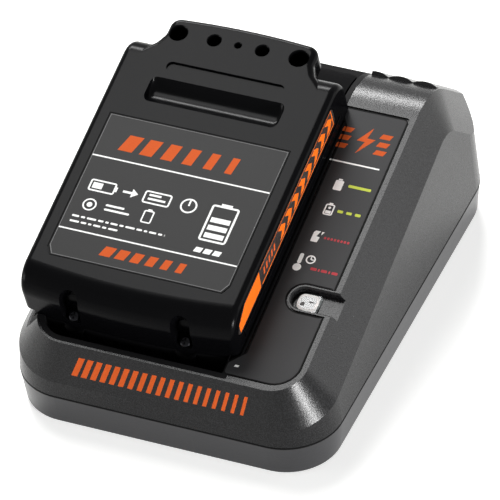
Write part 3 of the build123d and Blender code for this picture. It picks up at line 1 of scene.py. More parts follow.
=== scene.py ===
"""Looks of a bench charger with a slide-on battery pack docked on it.

Metres, +X to the right, +Y to the rear, +Z up, the table at z = 0. The deck is tilted,
and what lies on it is placed by (x, s, h): x to the right, s up the deck, h square to it.
Sizes are written in millimetres, apart from those of the stage.
"""
import math

import bmesh
import bpy
from mathutils import Matrix, Vector
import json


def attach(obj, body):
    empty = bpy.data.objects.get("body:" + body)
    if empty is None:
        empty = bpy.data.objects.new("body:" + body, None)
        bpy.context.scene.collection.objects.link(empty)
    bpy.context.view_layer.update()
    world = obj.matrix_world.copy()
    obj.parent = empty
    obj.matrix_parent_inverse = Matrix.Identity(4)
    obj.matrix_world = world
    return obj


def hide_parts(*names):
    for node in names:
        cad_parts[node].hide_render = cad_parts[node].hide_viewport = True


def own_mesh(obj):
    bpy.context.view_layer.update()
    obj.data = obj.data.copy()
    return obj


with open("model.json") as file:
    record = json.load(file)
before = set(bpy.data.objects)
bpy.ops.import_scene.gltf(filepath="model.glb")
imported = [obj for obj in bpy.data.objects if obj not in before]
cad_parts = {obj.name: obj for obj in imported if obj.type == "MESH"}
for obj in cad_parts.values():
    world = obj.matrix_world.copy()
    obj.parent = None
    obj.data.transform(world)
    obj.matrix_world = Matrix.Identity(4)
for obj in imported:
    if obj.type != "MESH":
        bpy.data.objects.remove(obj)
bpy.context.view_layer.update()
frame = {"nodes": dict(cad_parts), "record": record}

MM = 0.001

# deck of the charger: its tilt, the point where s and h are nought, the way up it and the way out of it
DECK_TILT = math.radians(15.07)
DECK_ORIGIN = Vector((0.0, -84.1, 33.37))
DECK_S = Vector((0.0, math.cos(DECK_TILT), math.sin(DECK_TILT)))
DECK_H = Vector((0.0, -math.sin(DECK_TILT), math.cos(DECK_TILT)))

# faces that carry print
PACK_X = -14.5              # middle of the pack
PACK_HALF = 39.3            # half its width
SIDE_SUNK = 0.05            # the side labels lie this far under its sides
SIDE_FACE = PACK_HALF - SIDE_SUNK
LABEL_FACE = 17.75          # h of the main label
PANEL_FACE = -0.3           # h of the status panel, a little under the deck
LENS_FACE = -1.9            # h of the lens, down in its notch

INK = 0.04                  # thickness of a printed mark
INK_SUNK = 0.02             # how far it sits in what it is printed on


# ================================================================ small tools
def on_deck(x, s, h):
    """A point of the deck, in metres."""
    return (DECK_ORIGIN + Vector((x, 0, 0)) + DECK_S * s + DECK_H * h) * MM


def linear(code):
    """An sRGB hex colour as linear red, green, blue and alpha."""
    values = []
    for k in (0, 2, 4):
        c = int(code[k:k + 2], 16) / 255
        values.append(c / 12.92 if c <= 0.04045 else ((c + 0.055) / 1.055) ** 2.4)
    return (*values, 1.0)


def add(tree, kind, inputs=(), **settings):
    """A node with its settings; inputs maps a socket to a value or to another node's socket."""
    node = tree.nodes.new(kind)
    for name, value in settings.items():
        setattr(node, name, value)
    for name, value in dict(inputs).items():
        if isinstance(value, bpy.types.NodeSocket):
            tree.links.new(value, node.inputs[name])
        else:
            node.inputs[name].default_value = value
    return node


def new_material(name):
    """An empty material with its tree."""
    material = bpy.data.materials.new(name)
    material.use_nodes = True
    material.node_tree.nodes.clear()
    return material, material.node_tree


def surface(tree, shader):
    """Connects a shader to the material's output."""
    tree.links.new(shader, add(tree, "ShaderNodeOutputMaterial").inputs["Surface"])


# ================================================================ materials
DRIFT = 0.08                # slow change of a moulding's shade across it, either way
DRIFT_LENGTH = 30.0
DRIFT_DETAIL = 2.0
GRAIN_DETAIL = 3.0
GRAIN_LOW = 0.35            # span of the grain's noise that is stretched into light and dark specks
GRAIN_HIGH = 0.65
MARK_DETAIL = 4.0           # marks of rolling or turning on metal
MARK_SPREAD = 0.3           # how far they change its roughness, as a share
WAVE_LENGTH = 2.5           # faint waves in the lens, which break up its shine
WAVE_DEPTH = 0.05
WAVE_DETAIL = 1.0
LENS_IOR = 1.58             # polycarbonate
LENS_LEVEL = 0.2
LENS_CLEARNESS = 0.6        # share of the light that passes; the rest makes it milky


def moulded(name, code, roughness, grain, depth, ior=1.53, level=0.5, speckle=0.04, gloss_drift=0.06):
    """Moulded plastic: an even colour with a slow drift, and a fine grain from the tool.

    The grain has a length and a depth. It changes the shade by speckle and the roughness by
    gloss_drift, either way. The level is the strength of the plain reflection.
    """
    material, tree = new_material(name)
    place = add(tree, "ShaderNodeTexCoord").outputs["Object"]
    slow = add(tree, "ShaderNodeTexNoise", {
        "Vector": place, "Scale": 1 / (DRIFT_LENGTH * MM), "Detail": DRIFT_DETAIL})
    fine = add(tree, "ShaderNodeTexNoise", {
        "Vector": place, "Scale": 1 / (grain * MM), "Detail": GRAIN_DETAIL})
    shade = add(tree, "ShaderNodeMapRange", {
        "Value": slow.outputs["Fac"], "To Min": 1 - DRIFT, "To Max": 1 + DRIFT})
    specks = add(tree, "ShaderNodeMapRange", {
        "Value": fine.outputs["Fac"], "From Min": GRAIN_LOW, "From Max": GRAIN_HIGH,
        "To Min": 1 - speckle, "To Max": 1 + speckle})
    both = add(tree, "ShaderNodeMath", {
        0: shade.outputs["Result"], 1: specks.outputs["Result"]}, operation="MULTIPLY")
    colour = add(tree, "ShaderNodeVectorMath", {
        0: linear(code)[:3], "Scale": both.outputs["Value"]}, operation="SCALE")
    rough = add(tree, "ShaderNodeMapRange", {
        "Value": fine.outputs["Fac"], "To Min": roughness - gloss_drift, "To Max": roughness + gloss_drift})
    bump = add(tree, "ShaderNodeBump", {
        "Height": fine.outputs["Fac"], "Distance": depth * MM, "Strength": 1.0})
    shader = add(tree, "ShaderNodeBsdfPrincipled", {
        "Base Color": colour.outputs["Vector"], "Roughness": rough.outputs["Result"],
        "Normal": bump.outputs["Normal"], "IOR": ior, "Specular IOR Level": level})
    surface(tree, shader.outputs["BSDF"])
    return material


def metal(name, code, roughness, brush, depth):
    """Bare metal with fine marks from rolling or turning, which have a length and a depth."""
    material, tree = new_material(name)
    place = add(tree, "ShaderNodeTexCoord").outputs["Object"]
    marks = add(tree, "ShaderNodeTexNoise", {
        "Vector": place, "Scale": 1 / (brush * MM), "Detail": MARK_DETAIL})
    rough = add(tree, "ShaderNodeMapRange", {
        "Value": marks.outputs["Fac"],
        "To Min": roughness * (1 - MARK_SPREAD), "To Max": roughness * (1 + MARK_SPREAD)})
    bump = add(tree, "ShaderNodeBump", {"Height": marks.outputs["Fac"], "Distance": depth * MM})
    shader = add(tree, "ShaderNodeBsdfPrincipled", {
        "Base Color": linear(code), "Metallic": 1.0, "Roughness": rough.outputs["Result"],
        "Normal": bump.outputs["Normal"]})
    surface(tree, shader.outputs["BSDF"])
    return material


def clear_plastic(name, code, roughness):
    """Moulded plastic that is clear but a little milky, with faint waves in its face."""
    material, tree = new_material(name)
    place = add(tree, "ShaderNodeTexCoord").outputs["Object"]
    waves = add(tree, "ShaderNodeTexNoise", {
        "Vector": place, "Scale": 1 / (WAVE_LENGTH * MM), "Detail": WAVE_DETAIL})
    bump = add(tree, "ShaderNodeBump", {"Height": waves.outputs["Fac"], "Distance": WAVE_DEPTH * MM})
    shader = add(tree, "ShaderNodeBsdfPrincipled", {
        "Base Color": linear(code), "Roughness": roughness, "IOR": LENS_IOR,
        "Specular IOR Level": LENS_LEVEL, "Transmission Weight": LENS_CLEARNESS,
        "Normal": bump.outputs["Normal"]})
    surface(tree, shader.outputs["BSDF"])
    return material


# a finish is its name, colour and roughness, and the length and depth of its grain or marks
MATERIALS = {
    # ABS with a spark-eroded grain: dull charcoal that sparkles where light grazes it. The real grain
    # is too fine to show, so it is drawn as coarse as it needs to show, at half a millimetre.
    "housing_plastic": moulded("abs_spark_grain", "141415", 0.27, 0.5, 0.05,
                               level=0.18, speckle=0.65, gloss_drift=0.08),
    # ABS from a plainer half of the tool: smoother and a little lighter
    "base_plastic": moulded("abs_plain", "222224", 0.32, 0.8, 0.02, level=0.42, speckle=0.08),
    # moulded rubber of the feet: soft black without a highlight
    "foot_rubber": moulded("rubber_black", "1A1A1B", 0.75, 0.5, 0.03, ior=1.52),
    # moulded rubber of the cord's inlet: black, with a faint sheen on its round edge
    "gland_rubber": moulded("rubber_gland", "1D1D1F", 0.65, 0.6, 0.02, ior=1.52),
    # zinc plated steel: pale grey with a broad, soft shine
    "screw_steel": metal("steel_zinc_plated", "A9ABAF", 0.32, 0.6, 0.004),
    # glass-filled nylon of the dock and its contacts' blocks: nearly black and dull, so that it looks deep
    "dock_plastic": moulded("nylon_dock", "0B0B0C", 0.6, 0.7, 0.02, level=0.06),
    # printed polycarbonate plate: satin dark grey, a step above the housing round it
    "panel_plastic": moulded("polycarbonate_panel", "303031", 0.40, 0.4, 0.008, level=0.06),
    # polycarbonate of the lens: a pale, milky window with a sharp shine
    "lens_plastic": clear_plastic("polycarbonate_clear", "8A8E8E", 0.03),
    # solder mask on a board: deep green, half glossy
    "circuit_board": moulded("solder_mask", "1C5A34", 0.35, 1.0, 0.02),
    # sintered ferrite: charcoal grey and stony
    "ferrite": moulded("ferrite_sintered", "37373B", 0.6, 0.3, 0.02),
    # nylon of bobbins and holders: dark satin
    "bobbin_plastic": moulded("nylon_moulded", "232325", 0.5, 0.6, 0.01),
    # enamelled copper wire: warm red-brown with bright turns
    "winding_copper": metal("copper_enamelled", "B8673C", 0.3, 0.5, 0.03),
    # shrunk sleeve of a capacitor: deep blue and glossy
    "capacitor_sleeve": moulded("sleeve_shrink", "1E2B5C", 0.3, 2.0, 0.01),
    # extruded aluminium: light grey with the die's fine marks
    "sink_aluminium": metal("aluminium_extruded", "BFC3C8", 0.35, 0.5, 0.01),
    # moulded epoxy of the chips: near black and half matt
    "chip_resin": moulded("epoxy_moulded", "171718", 0.5, 0.3, 0.01),
    # glass tube of the fuse: pale green-white with a sharp shine
    "fuse_glass": moulded("glass_tube", "C9D6D2", 0.06, 3.0, 0.002),
    # nickel plated strip: warm silver
    "nickel_strip": metal("nickel_plated", "B9BAB2", 0.28, 0.5, 0.004),
    # natural nylon of the terminals: ivory and satin
    "terminal_plastic": moulded("nylon_natural", "D6D2C6", 0.5, 0.6, 0.01),
    # tinted resin of the lights: fresh green with a wet gloss
    "light_resin": moulded("resin_tinted", "9AD86C", 0.15, 1.0, 0.005),
    # stamped brass: yellow with a clean shine
    "contact_brass": metal("brass_stamped", "C8A450", 0.25, 0.5, 0.004),
    # polished ABS of the pack: black with soft reflections
    "pack_plastic": moulded("abs_polished", "050506", 0.22, 1.2, 0.004, level=0.03, gloss_drift=0.03),
    # satin film of the main label: flat dark grey, so that white and orange print stands out on it
    "label_film": moulded("film_satin", "262626", 0.32, 0.5, 0.004, level=0.05),
    # film of the side labels: warm near black with a satin sheen
    "side_film": moulded("film_dark", "2C2624", 0.35, 0.5, 0.004),
    # ABS of the pack's rail side: dull black, darkened further as painted shade, for the shade that falls
    # on its tail under the pack
    "rail_plastic": moulded("abs_rail", "0A0A0B", 0.65, 0.8, 0.01, level=0.015),
    # shrunk sleeve of a cell: clear blue and glossy
    "cell_sleeve": moulded("sleeve_cell", "2C6CA6", 0.28, 2.0, 0.006),
    # closed-cell foam: mid grey, pitted, without shine
    "pad_foam": moulded("foam_closed_cell", "555557", 0.85, 0.4, 0.08),
    # nylon of the latch: dark grey and satin
    "latch_plastic": moulded("nylon_latch", "1E1E20", 0.42, 0.6, 0.01),
    # drawn spring wire: bright grey coils
    "spring_steel": metal("steel_spring", "96989C", 0.25, 0.3, 0.003),
}

# printing inks: flat and even, with less sheen than the film under them
INKS = {
    # rules, signs and fine print, and the painted highlight round the lens's rim: clean white that doesn't
    # glare
    "white": moulded("ink_white", "F2F2F0", 0.5, 0.4, 0.004, level=0.02),
    # bars of the label and the front, ticks, the bolt and its rungs: burnt orange
    "orange": moulded("ink_orange", "C25527", 0.45, 0.4, 0.004, level=0.02),
    # side labels: a fuller, lighter copy of the orange, made so to offset how the light falls on an upright
    # face: painted light
    "orange_bright": moulded("ink_orange_bright", "D4621B", 0.42, 0.4, 0.004, level=0.02),
    # rows for full and charging: yellow-green
    "green": moulded("ink_green", "BECA50", 0.45, 0.4, 0.004, level=0.02),
    # rows for fault and heat: rose red
    "red": moulded("ink_red", "AE4046", 0.45, 0.4, 0.004, level=0.02),
    # lines along edges and where the housings meet: black that looks like a gap; along the edges of the
    # label and the panel it is also painted shade
    "black": moulded("ink_black", "080808", 0.6, 0.4, 0.004, level=0.05),
    # the painted highlight just inside the label's edge, and the darker spots painted on the lens: soft mid
    # grey
    "grey": moulded("ink_grey", "6E6E6E", 0.5, 0.4, 0.004, level=0.02),
}

slots = {entry["node"]: entry["material_slot"] for entry in frame["record"]["subparts"]}
finishes = {node: MATERIALS[slot] for node, slot in slots.items()}
# blackened steel: dark screw heads that only the shine on their edges gives away
finishes["pack_screws"] = metal("steel_blackened", "1C1C1E", 0.35, 0.5, 0.004)
for node, thing in frame["nodes"].items():
    thing.data.materials.clear()
    thing.data.materials.append(finishes[node])


# ================================================================ flat marks
def poly(*points):
    """A closed polygon."""
    return {"outer": list(points), "inner": None}


def bar(u0, u1, v0, v1, slant=0.0):
    """A four-sided bar whose top is shifted by slant."""
    return poly((u0, v0), (u1, v0), (u1 + slant, v1), (u0 + slant, v1))


def arc(u, v, radius, start, stop, count):
    """Points on an arc, angles in degrees."""
    step = (stop - start) / (count - 1)
    angles = [math.radians(start + k * step) for k in range(count)]
    return [(u + radius * math.cos(a), v + radius * math.sin(a)) for a in angles]


def rounded(u0, u1, v0, v1, radius, count=5):
    """The corner points of a rounded rectangle, counter-clockwise."""
    return (
        arc(u1 - radius, v0 + radius, radius, -90, 0, count)
        + arc(u1 - radius, v1 - radius, radius, 0, 90, count)
        + arc(u0 + radius, v1 - radius, radius, 90, 180, count)
        + arc(u0 + radius, v0 + radius, radius, 180, 270, count)
    )


def pill(u0, u1, v0, v1, radius):
    """A filled rounded rectangle."""
    return {"outer": rounded(u0, u1, v0, v1, radius), "inner": None}


def frame_line(u0, u1, v0, v1, radius, width):
    """The outline of a rounded rectangle."""
    return {
        "outer": rounded(u0, u1, v0, v1, radius),
        "inner": rounded(u0 + width, u1 - width, v0 + width, v1 - width, max(radius - width, width / 4)),
    }


def disc(u, v, radius, count=20):
    """A filled circle."""
    return {"outer": arc(u, v, radius, 0, 360 - 360 / count, count), "inner": None}


def ring(u, v, radius, width, count=24):
    """A circle drawn with a line."""
    stop = 360 - 360 / count
    return {"outer": arc(u, v, radius, 0, stop, count), "inner": arc(u, v, radius - width, 0, stop, count)}


# signs of a battery and an arrow
CASE_CORNER = 1.4           # in line widths, as the next two
TERMINAL_FOOT = 0.05        # a hair off the case, so that the two don't touch
TERMINAL_TOP = 1.1
TERMINAL_HALF = 0.2         # half its width, as a share of the case's
LEVEL_STEPS = 4             # levels of a full battery
LEVEL_SHARE = 0.62          # how much of its step a level fills
ARROW_GAP = 0.02            # between the shaft and the head
ARROW_SPREAD = 0.75         # half the head's width, as a share of its length


def battery_glyph(u0, u1, v0, v1, width, levels=0):
    """An upright battery drawn with a line, its terminal on top and level bars inside."""
    mid = (u0 + u1) / 2
    cap = (u1 - u0) * TERMINAL_HALF
    marks = [frame_line(u0, u1, v0, v1, width * CASE_CORNER, width),
             bar(mid - cap, mid + cap, v1 + width * TERMINAL_FOOT, v1 + width * TERMINAL_TOP)]
    step = (v1 - v0 - 3 * width) / LEVEL_STEPS
    for k in range(levels):
        low = v0 + 2 * width + k * step
        marks.append(bar(u0 + 2 * width, u1 - 2 * width, low, low + step * LEVEL_SHARE))
    return marks


def lying_battery_glyph(u0, u1, v0, v1, width):
    """A battery on its side with its terminal at the right, and a solid half."""
    mid = (v0 + v1) / 2
    cap = (v1 - v0) * TERMINAL_HALF
    return [frame_line(u0, u1, v0, v1, width * CASE_CORNER, width),
            bar(u1 + width * TERMINAL_FOOT, u1 + width * TERMINAL_TOP, mid - cap, mid + cap),
            bar(u0 + 2 * width, (u0 + u1) / 2, v0 + 2 * width, v1 - 2 * width)]


def arrow_glyph(u0, u1, v, width, head):
    """An arrow that points right."""
    neck = u1 - head
    spread = head * ARROW_SPREAD
    return [bar(u0, neck, v - width / 2, v + width / 2),
            poly((neck + ARROW_GAP, v - spread), (u1, v), (neck + ARROW_GAP, v + spread))]


# ================================================================ marks on a surface
def thin_mesh(name, marks, place):
    """Thin marks as one mesh of closed plates.

    place turns (u, v, w) into a point: u and v along the surface, w away from it.
    """
    shape = bmesh.new()
    for mark in marks:
        loops = []
        for height in (-INK_SUNK, INK - INK_SUNK):
            outer = [shape.verts.new(place(u, v, height)) for u, v in mark["outer"]]
            inner = [shape.verts.new(place(u, v, height)) for u, v in mark["inner"] or []]
            loops.append((outer, inner))
        (low_out, low_in), (top_out, top_in) = loops
        count = len(low_out)
        pairs = [(k, (k + 1) % count) for k in range(count)]
        for a, b in pairs:
            shape.faces.new((low_out[a], low_out[b], top_out[b], top_out[a]))
        if low_in:
            for a, b in pairs:
                shape.faces.new((low_in[b], low_in[a], top_in[a], top_in[b]))
                shape.faces.new((top_out[a], top_out[b], top_in[b], top_in[a]))
                shape.faces.new((low_out[b], low_out[a], low_in[a], low_in[b]))
        else:
            shape.faces.new(top_out)
            shape.faces.new(low_out[::-1])
    bmesh.ops.recalc_face_normals(shape, faces=shape.faces)
    bmesh.ops.triangulate(shape, faces=shape.faces)
    mesh = bpy.data.meshes.new(name)
    shape.to_mesh(mesh)
    shape.free()
    return mesh


def fixed_on(name, mesh, body):
    """A finished piece that moves with a body."""
    thing = bpy.data.objects.new(name, mesh)
    bpy.context.collection.objects.link(thing)
    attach(thing, body)
    return thing


def printed(name, marks, ink, place, body, slot):
    """Marks printed on a surface."""
    mesh = thin_mesh(name, marks, place)
    mesh.materials.append(ink)
    return fixed_on(name, mesh, body)


def row_tree():
    """Geometry Nodes for a printed row: one mark repeated at a step, each narrower by a share."""
    tree = bpy.data.node_groups.new("printed_row", "GeometryNodeTree")
    face = tree.interface
    face.new_socket("Mark", in_out="INPUT", socket_type="NodeSocketGeometry")
    face.new_socket("Count", in_out="INPUT", socket_type="NodeSocketInt")
    face.new_socket("Step", in_out="INPUT", socket_type="NodeSocketFloat")
    face.new_socket("Narrowing", in_out="INPUT", socket_type="NodeSocketFloat")
    face.new_socket("Ink", in_out="INPUT", socket_type="NodeSocketMaterial")
    face.new_socket("Row", in_out="OUTPUT", socket_type="NodeSocketGeometry")
    given = add(tree, "NodeGroupInput").outputs
    step = add(tree, "ShaderNodeCombineXYZ", {"X": given["Step"]})
    line = add(tree, "GeometryNodeMeshLine", {"Count": given["Count"], "Offset": step.outputs["Vector"]})
    index = add(tree, "GeometryNodeInputIndex")
    lost = add(tree, "ShaderNodeMath", {
        0: index.outputs["Index"], 1: given["Narrowing"]}, operation="MULTIPLY")
    width = add(tree, "ShaderNodeMath", {0: 1.0, 1: lost.outputs["Value"]}, operation="SUBTRACT")
    scale = add(tree, "ShaderNodeCombineXYZ", {"X": width.outputs["Value"], "Y": 1.0, "Z": 1.0})
    row = add(tree, "GeometryNodeInstanceOnPoints", {
        "Points": line.outputs["Mesh"], "Instance": given["Mark"], "Scale": scale.outputs["Vector"]})
    real = add(tree, "GeometryNodeRealizeInstances", {"Geometry": row.outputs["Instances"]})
    inked = add(tree, "GeometryNodeSetMaterial", {
        "Geometry": real.outputs["Geometry"], "Material": given["Ink"]})
    add(tree, "NodeGroupOutput", {"Row": inked.outputs["Geometry"]})
    return tree


ROW_TREE = row_tree()


def printed_row(name, mark, start, count, step, narrowing, ink, place, body, slot):
    """A row of like marks: mark is drawn about (0, v), the first one stands at u = start."""
    flat = thin_mesh(name, [mark], lambda u, v, w: Vector((u, v, w)))
    maker = bpy.data.objects.new(name, flat)
    bpy.context.collection.objects.link(maker)
    modifier = maker.modifiers.new("row", "NODES")
    modifier.node_group = ROW_TREE
    inputs = [item for item in ROW_TREE.interface.items_tree if item.in_out == "INPUT"]
    sockets = {item.name: item.identifier for item in inputs}
    for socket, value in (("Count", count), ("Step", step), ("Narrowing", narrowing), ("Ink", ink)):
        modifier[sockets[socket]] = value
    mesh = bpy.data.meshes.new_from_object(maker.evaluated_get(bpy.context.evaluated_depsgraph_get()))
    maker.modifiers.remove(modifier)
    bpy.data.objects.remove(maker)
    for vertex in mesh.vertices:
        u, v, w = vertex.co
        vertex.co = place(start + u, v, w)
    mesh.name = name
    shape = bmesh.new()
    shape.from_mesh(mesh)
    bmesh.ops.recalc_face_normals(shape, faces=shape.faces)
    shape.to_mesh(mesh)
    shape.free()
    return fixed_on(name, mesh, body)


def on_label(u, v, w):
    """A point of the main label."""
    return on_deck(u, v, LABEL_FACE + w)


def on_panel(u, v, w):
    """A point of the status panel."""
    return on_deck(u, v, PANEL_FACE + w)


def on_lens(u, v, w):
    """A point of the status lens."""
    return on_deck(u, v, LENS_FACE + w)


def on_right_side(u, v, w):
    """A point of the right side label: u up the deck, v square to it."""
    return on_deck(PACK_X + SIDE_FACE + w, u, v)


def on_left_side(u, v, w):
    """A point of the left side label: u up the deck, v square to it."""
    return on_deck(PACK_X - SIDE_FACE - w, u, v)


# what a mark on the label, the panel and the lens is printed on
LABEL_PRINT = {"place": on_label, "body": "pack", "slot": "label_film"}
PANEL_PRINT = {"place": on_panel, "body": "charger", "slot": "panel_plastic"}
LENS_PRINT = {"place": on_lens, "body": "charger", "slot": "lens_plastic"}

# ---------------------------------------------------------------- main label
# a box on the label is (left, right, low, high), in x and s
LABEL_X0 = -47.9
LABEL_X1 = 18.7
LABEL_S0 = 27.0
LABEL_S1 = 87.6
LABEL_CUT_X = 1.8           # its two cut corners, at the front
LABEL_CUT_S = 3.3
GAP_AND_SHADE_END = 0.45            # the dark line along its edge, its gap widened by painted shade, ends this far in, and the painted highlight inside it starts
HIGHLIGHT_RING_END = 0.7
TITLE_BAR = (-2.6, 2.6, 73.4, 80.2)     # one bar of a row, drawn about x = 0
LOWER_BAR = (-2.0, 2.0, 30.9, 34.9)
RULES = (38.5, 69.5)        # s of the white rules
RULE_WIDE = 0.55
RULE_INSET = 0.6
BIG_BATTERY = (0.9, 10.9, 45.5, 60.5)
SMALL_BATTERY = (-21.0, -17.2, 47.2, 52.4)
LYING_BATTERY = (-43.6, -34.0, 55.2, 60.0)
CARD = (-23.6, -13.6, 55.0, 60.2)
CLOCK = (-7.0, 57.6)
KNOB = (-40.4, 49.6)
CHARGE_STEP = 3.4           # from one of the bars under the big battery to the next
FINE_ROWS = ((-10.4, 43.7), (-26.6, 41.5))      # where each row of fine print ends, and its s
FINE_START = -44.6
FINE_WORDS = (2.6, 1.5, 3.4, 2.0, 1.2)          # lengths of its words, taken in turn
FINE_GAP = 0.7
FINE_HIGH = 0.75
FINE_CORNER = 0.3


def label_ring(start, stop):
    """A line along the label's edge, between two distances in from it."""
    loops = []
    for inset in (start, stop):
        x0, x1, s0, s1 = LABEL_X0 + inset, LABEL_X1 - inset, LABEL_S0 + inset, LABEL_S1 - inset
        loops.append([(x0, s1), (x0, s0 + LABEL_CUT_S), (x0 + LABEL_CUT_X, s0),
                      (x1 - LABEL_CUT_X, s0), (x1, s0 + LABEL_CUT_S), (x1, s1)])
    return {"outer": loops[0], "inner": loops[1]}


def label_rules():
    """The two white rules across the label."""
    x0 = LABEL_X0 + RULE_INSET
    x1 = LABEL_X1 - RULE_INSET
    return [bar(x0, x1, s - RULE_WIDE / 2, s + RULE_WIDE / 2) for s in RULES]


def label_signs():
    """The white signs between the two rules."""
    # a big battery with three levels, and three bars under it
    signs = battery_glyph(*BIG_BATTERY, 0.75, levels=3)
    signs += [bar(1.2 + CHARGE_STEP * k, 3.8 + CHARGE_STEP * k, 40.6, 42.6, 0.5) for k in range(3)]
    # a lying battery, an arrow and a card with two lines
    signs += lying_battery_glyph(*LYING_BATTERY, 0.6)
    signs += arrow_glyph(-31.2, -25.6, 57.6, 0.9, 2.4)
    signs += [frame_line(*CARD, 1.0, 0.6), bar(-21.8, -15.4, 56.6, 57.4), bar(-21.8, -17.4, 58.2, 59.0)]
    # a clock with one hand
    signs += [ring(*CLOCK, 3.0, 0.6), bar(-7.3, -6.7, 57.6, 59.9)]
    # a knob, two lines beside it and a small battery
    signs += [ring(*KNOB, 2.5, 0.55), disc(*KNOB, 1.0)]
    signs += [pill(-34.8, -25.6, 48.6, 49.4, 0.35), pill(-34.8, -28.0, 50.4, 51.2, 0.35)]
    signs += battery_glyph(*SMALL_BATTERY, 0.5)
    return signs


def fine_print():
    """Two rows of fine print. Its letters are too fine to show, so each word is a bar, which does."""
    words = []
    for row, (stop, s) in enumerate(FINE_ROWS):
        start = FINE_START
        step = 0
        while start < stop:
            length = FINE_WORDS[(step + 2 * row) % len(FINE_WORDS)]
            words.append(pill(start, min(start + length, stop), s, s + FINE_HIGH, FINE_CORNER))
            start += length + FINE_GAP
            step += 1
    return words


printed("label_rules", label_rules(), INKS["white"], **LABEL_PRINT)
# along the label's sunken edge: its gap widened by painted shade, and a thin painted highlight just inside
# it
printed("label_gap_and_shade", [label_ring(0.0, GAP_AND_SHADE_END)], INKS["black"], **LABEL_PRINT)
printed("label_rim_highlight", [label_ring(GAP_AND_SHADE_END, HIGHLIGHT_RING_END)], INKS["grey"], **LABEL_PRINT)
printed_row("label_title_bars", bar(*TITLE_BAR, slant=2.2), start=-37.0, count=6, step=7.6,
            narrowing=0.1, ink=INKS["orange"], **LABEL_PRINT)
printed_row("label_lower_bars", bar(*LOWER_BAR, slant=1.4), start=-27.6, count=6, step=5.4,
            narrowing=0.08, ink=INKS["orange"], **LABEL_PRINT)
printed("label_pictograms", label_signs(), INKS["white"], **LABEL_PRINT)
printed("label_fine_rows", fine_print(), INKS["white"], **LABEL_PRINT)

# ---------------------------------------------------------------- side labels
SIDE_LOW = 6.7              # h of the printed field's lower and upper edges
SIDE_HIGH = 14.8
SIDE_NOSE = 20.2            # s of its ends
SIDE_TAIL = 109.2
BLOCK_END = 39.2            # end of the solid block, which leans up the deck
BLOCK_LEAN = 1.0
BLOCK_INSET = 0.3
NOSE_H = 10.8               # its upper front corner is cut off, from this h
NOSE_S = 27.0               # to this s
SIDE_LINE = 0.5             # the lower and the end line; the upper one is half as wide
LINE_INSET = 0.2
LOWER_GAP = 1.4             # from the block to the lower and the upper line
UPPER_GAP = 2.0
SIDE_TICK = (-0.5, 0.5, 9.4, 12.2)      # one tick and one chevron, drawn about s = 0
CHEVRON = ((-2.4, 8.1), (0.8, 8.1), (3.4, 10.8), (0.8, 13.5), (-2.4, 13.5), (0.2, 10.8))


def side_block():
    """The solid block at the front of a side label, and the three lines that close its field."""
    low = SIDE_LOW + BLOCK_INSET
    high = SIDE_HIGH - BLOCK_INSET
    line_low = SIDE_LOW + LINE_INSET
    line_high = SIDE_HIGH - LINE_INSET
    return [
        poly((SIDE_NOSE, low), (BLOCK_END, low), (BLOCK_END + BLOCK_LEAN, high), (NOSE_S, high),
             (SIDE_NOSE, NOSE_H)),
        bar(BLOCK_END + LOWER_GAP, SIDE_TAIL, line_low, line_low + SIDE_LINE),
        bar(BLOCK_END + UPPER_GAP, SIDE_TAIL, line_high - SIDE_LINE / 2, line_high),
        bar(SIDE_TAIL - SIDE_LINE, SIDE_TAIL, low + SIDE_LINE, high - SIDE_LINE / 2),
    ]


def side_label(side, place):
    """The print of one side label: block and lines, a row of chevrons and a row of ticks."""
    side_print = {"place": place, "body": "pack", "slot": "side_film"}
    printed(f"side_block_{side}", side_block(), INKS["orange_bright"], **side_print)
    printed_row(f"side_chevrons_{side}", poly(*CHEVRON), start=60.4, count=8, step=6.4, narrowing=0.0,
                ink=INKS["orange_bright"], **side_print)
    printed_row(f"side_ticks_{side}", bar(*SIDE_TICK, slant=0.8), start=43.4, count=5, step=2.4,
                narrowing=0.0, ink=INKS["orange"], **side_print)


side_label("right", on_right_side)
side_label("left", on_left_side)

# ---------------------------------------------------------------- status panel
# the panel's four rows, from the lens up: low and high edge of their marks, in s
HEAT_ROW = (54.6, 55.7)
FAULT_ROW = (67.7, 68.7)
CHARGING_ROW = (79.2, 80.3)
FULL_ROW = (90.0, 91.1)
PANEL_RULE = (25.1, 43.9, 99.3, 99.9)
PANEL_TICK = (24.4, 25.8, 11.2, 12.0)
BOLT = ((36.2, 115.6), (32.0, 109.4), (35.0, 109.4), (33.2, 104.0), (38.4, 111.0), (35.3, 111.0))
RUNGS = (105.2, 108.6, 112.0)   # lower edges of the rungs beside the bolt
RUNG_HALF = 1.9
RUNG_HIGH = 2.0
RUNG_SLANT = 0.8


def panel_signs():
    """The white signs at the left of the four rows."""
    # full: a filled battery
    signs = [pill(31.0, 34.0, 87.9, 92.0, 0.4), bar(31.8, 33.2, 92.1, 92.7)]
    # charging: a battery with a low level and a spot above it
    signs += battery_glyph(31.2, 34.6, 77.3, 81.9, 0.5)
    signs += [bar(31.9, 33.9, 78.0, 79.2), disc(32.9, 80.4, 0.5)]
    # fault: a broken battery and the splinter from it
    signs += [poly((31.2, 65.8), (33.6, 65.8), (33.9, 68.0), (32.6, 68.2), (33.5, 70.4), (31.8, 70.4),
                   (31.2, 69.6)),
              poly((34.1, 68.9), (34.9, 70.3), (34.0, 70.3))]
    # heat: a thermometer, and a clock with two hands
    signs += [disc(30.6, 54.6, 1.5), pill(29.9, 31.3, 56.2, 60.4, 0.6)]
    signs += [ring(34.2, 58.6, 1.75, 0.5), bar(34.0, 34.4, 58.6, 60.0), bar(34.4, 35.3, 58.4, 58.8)]
    return signs


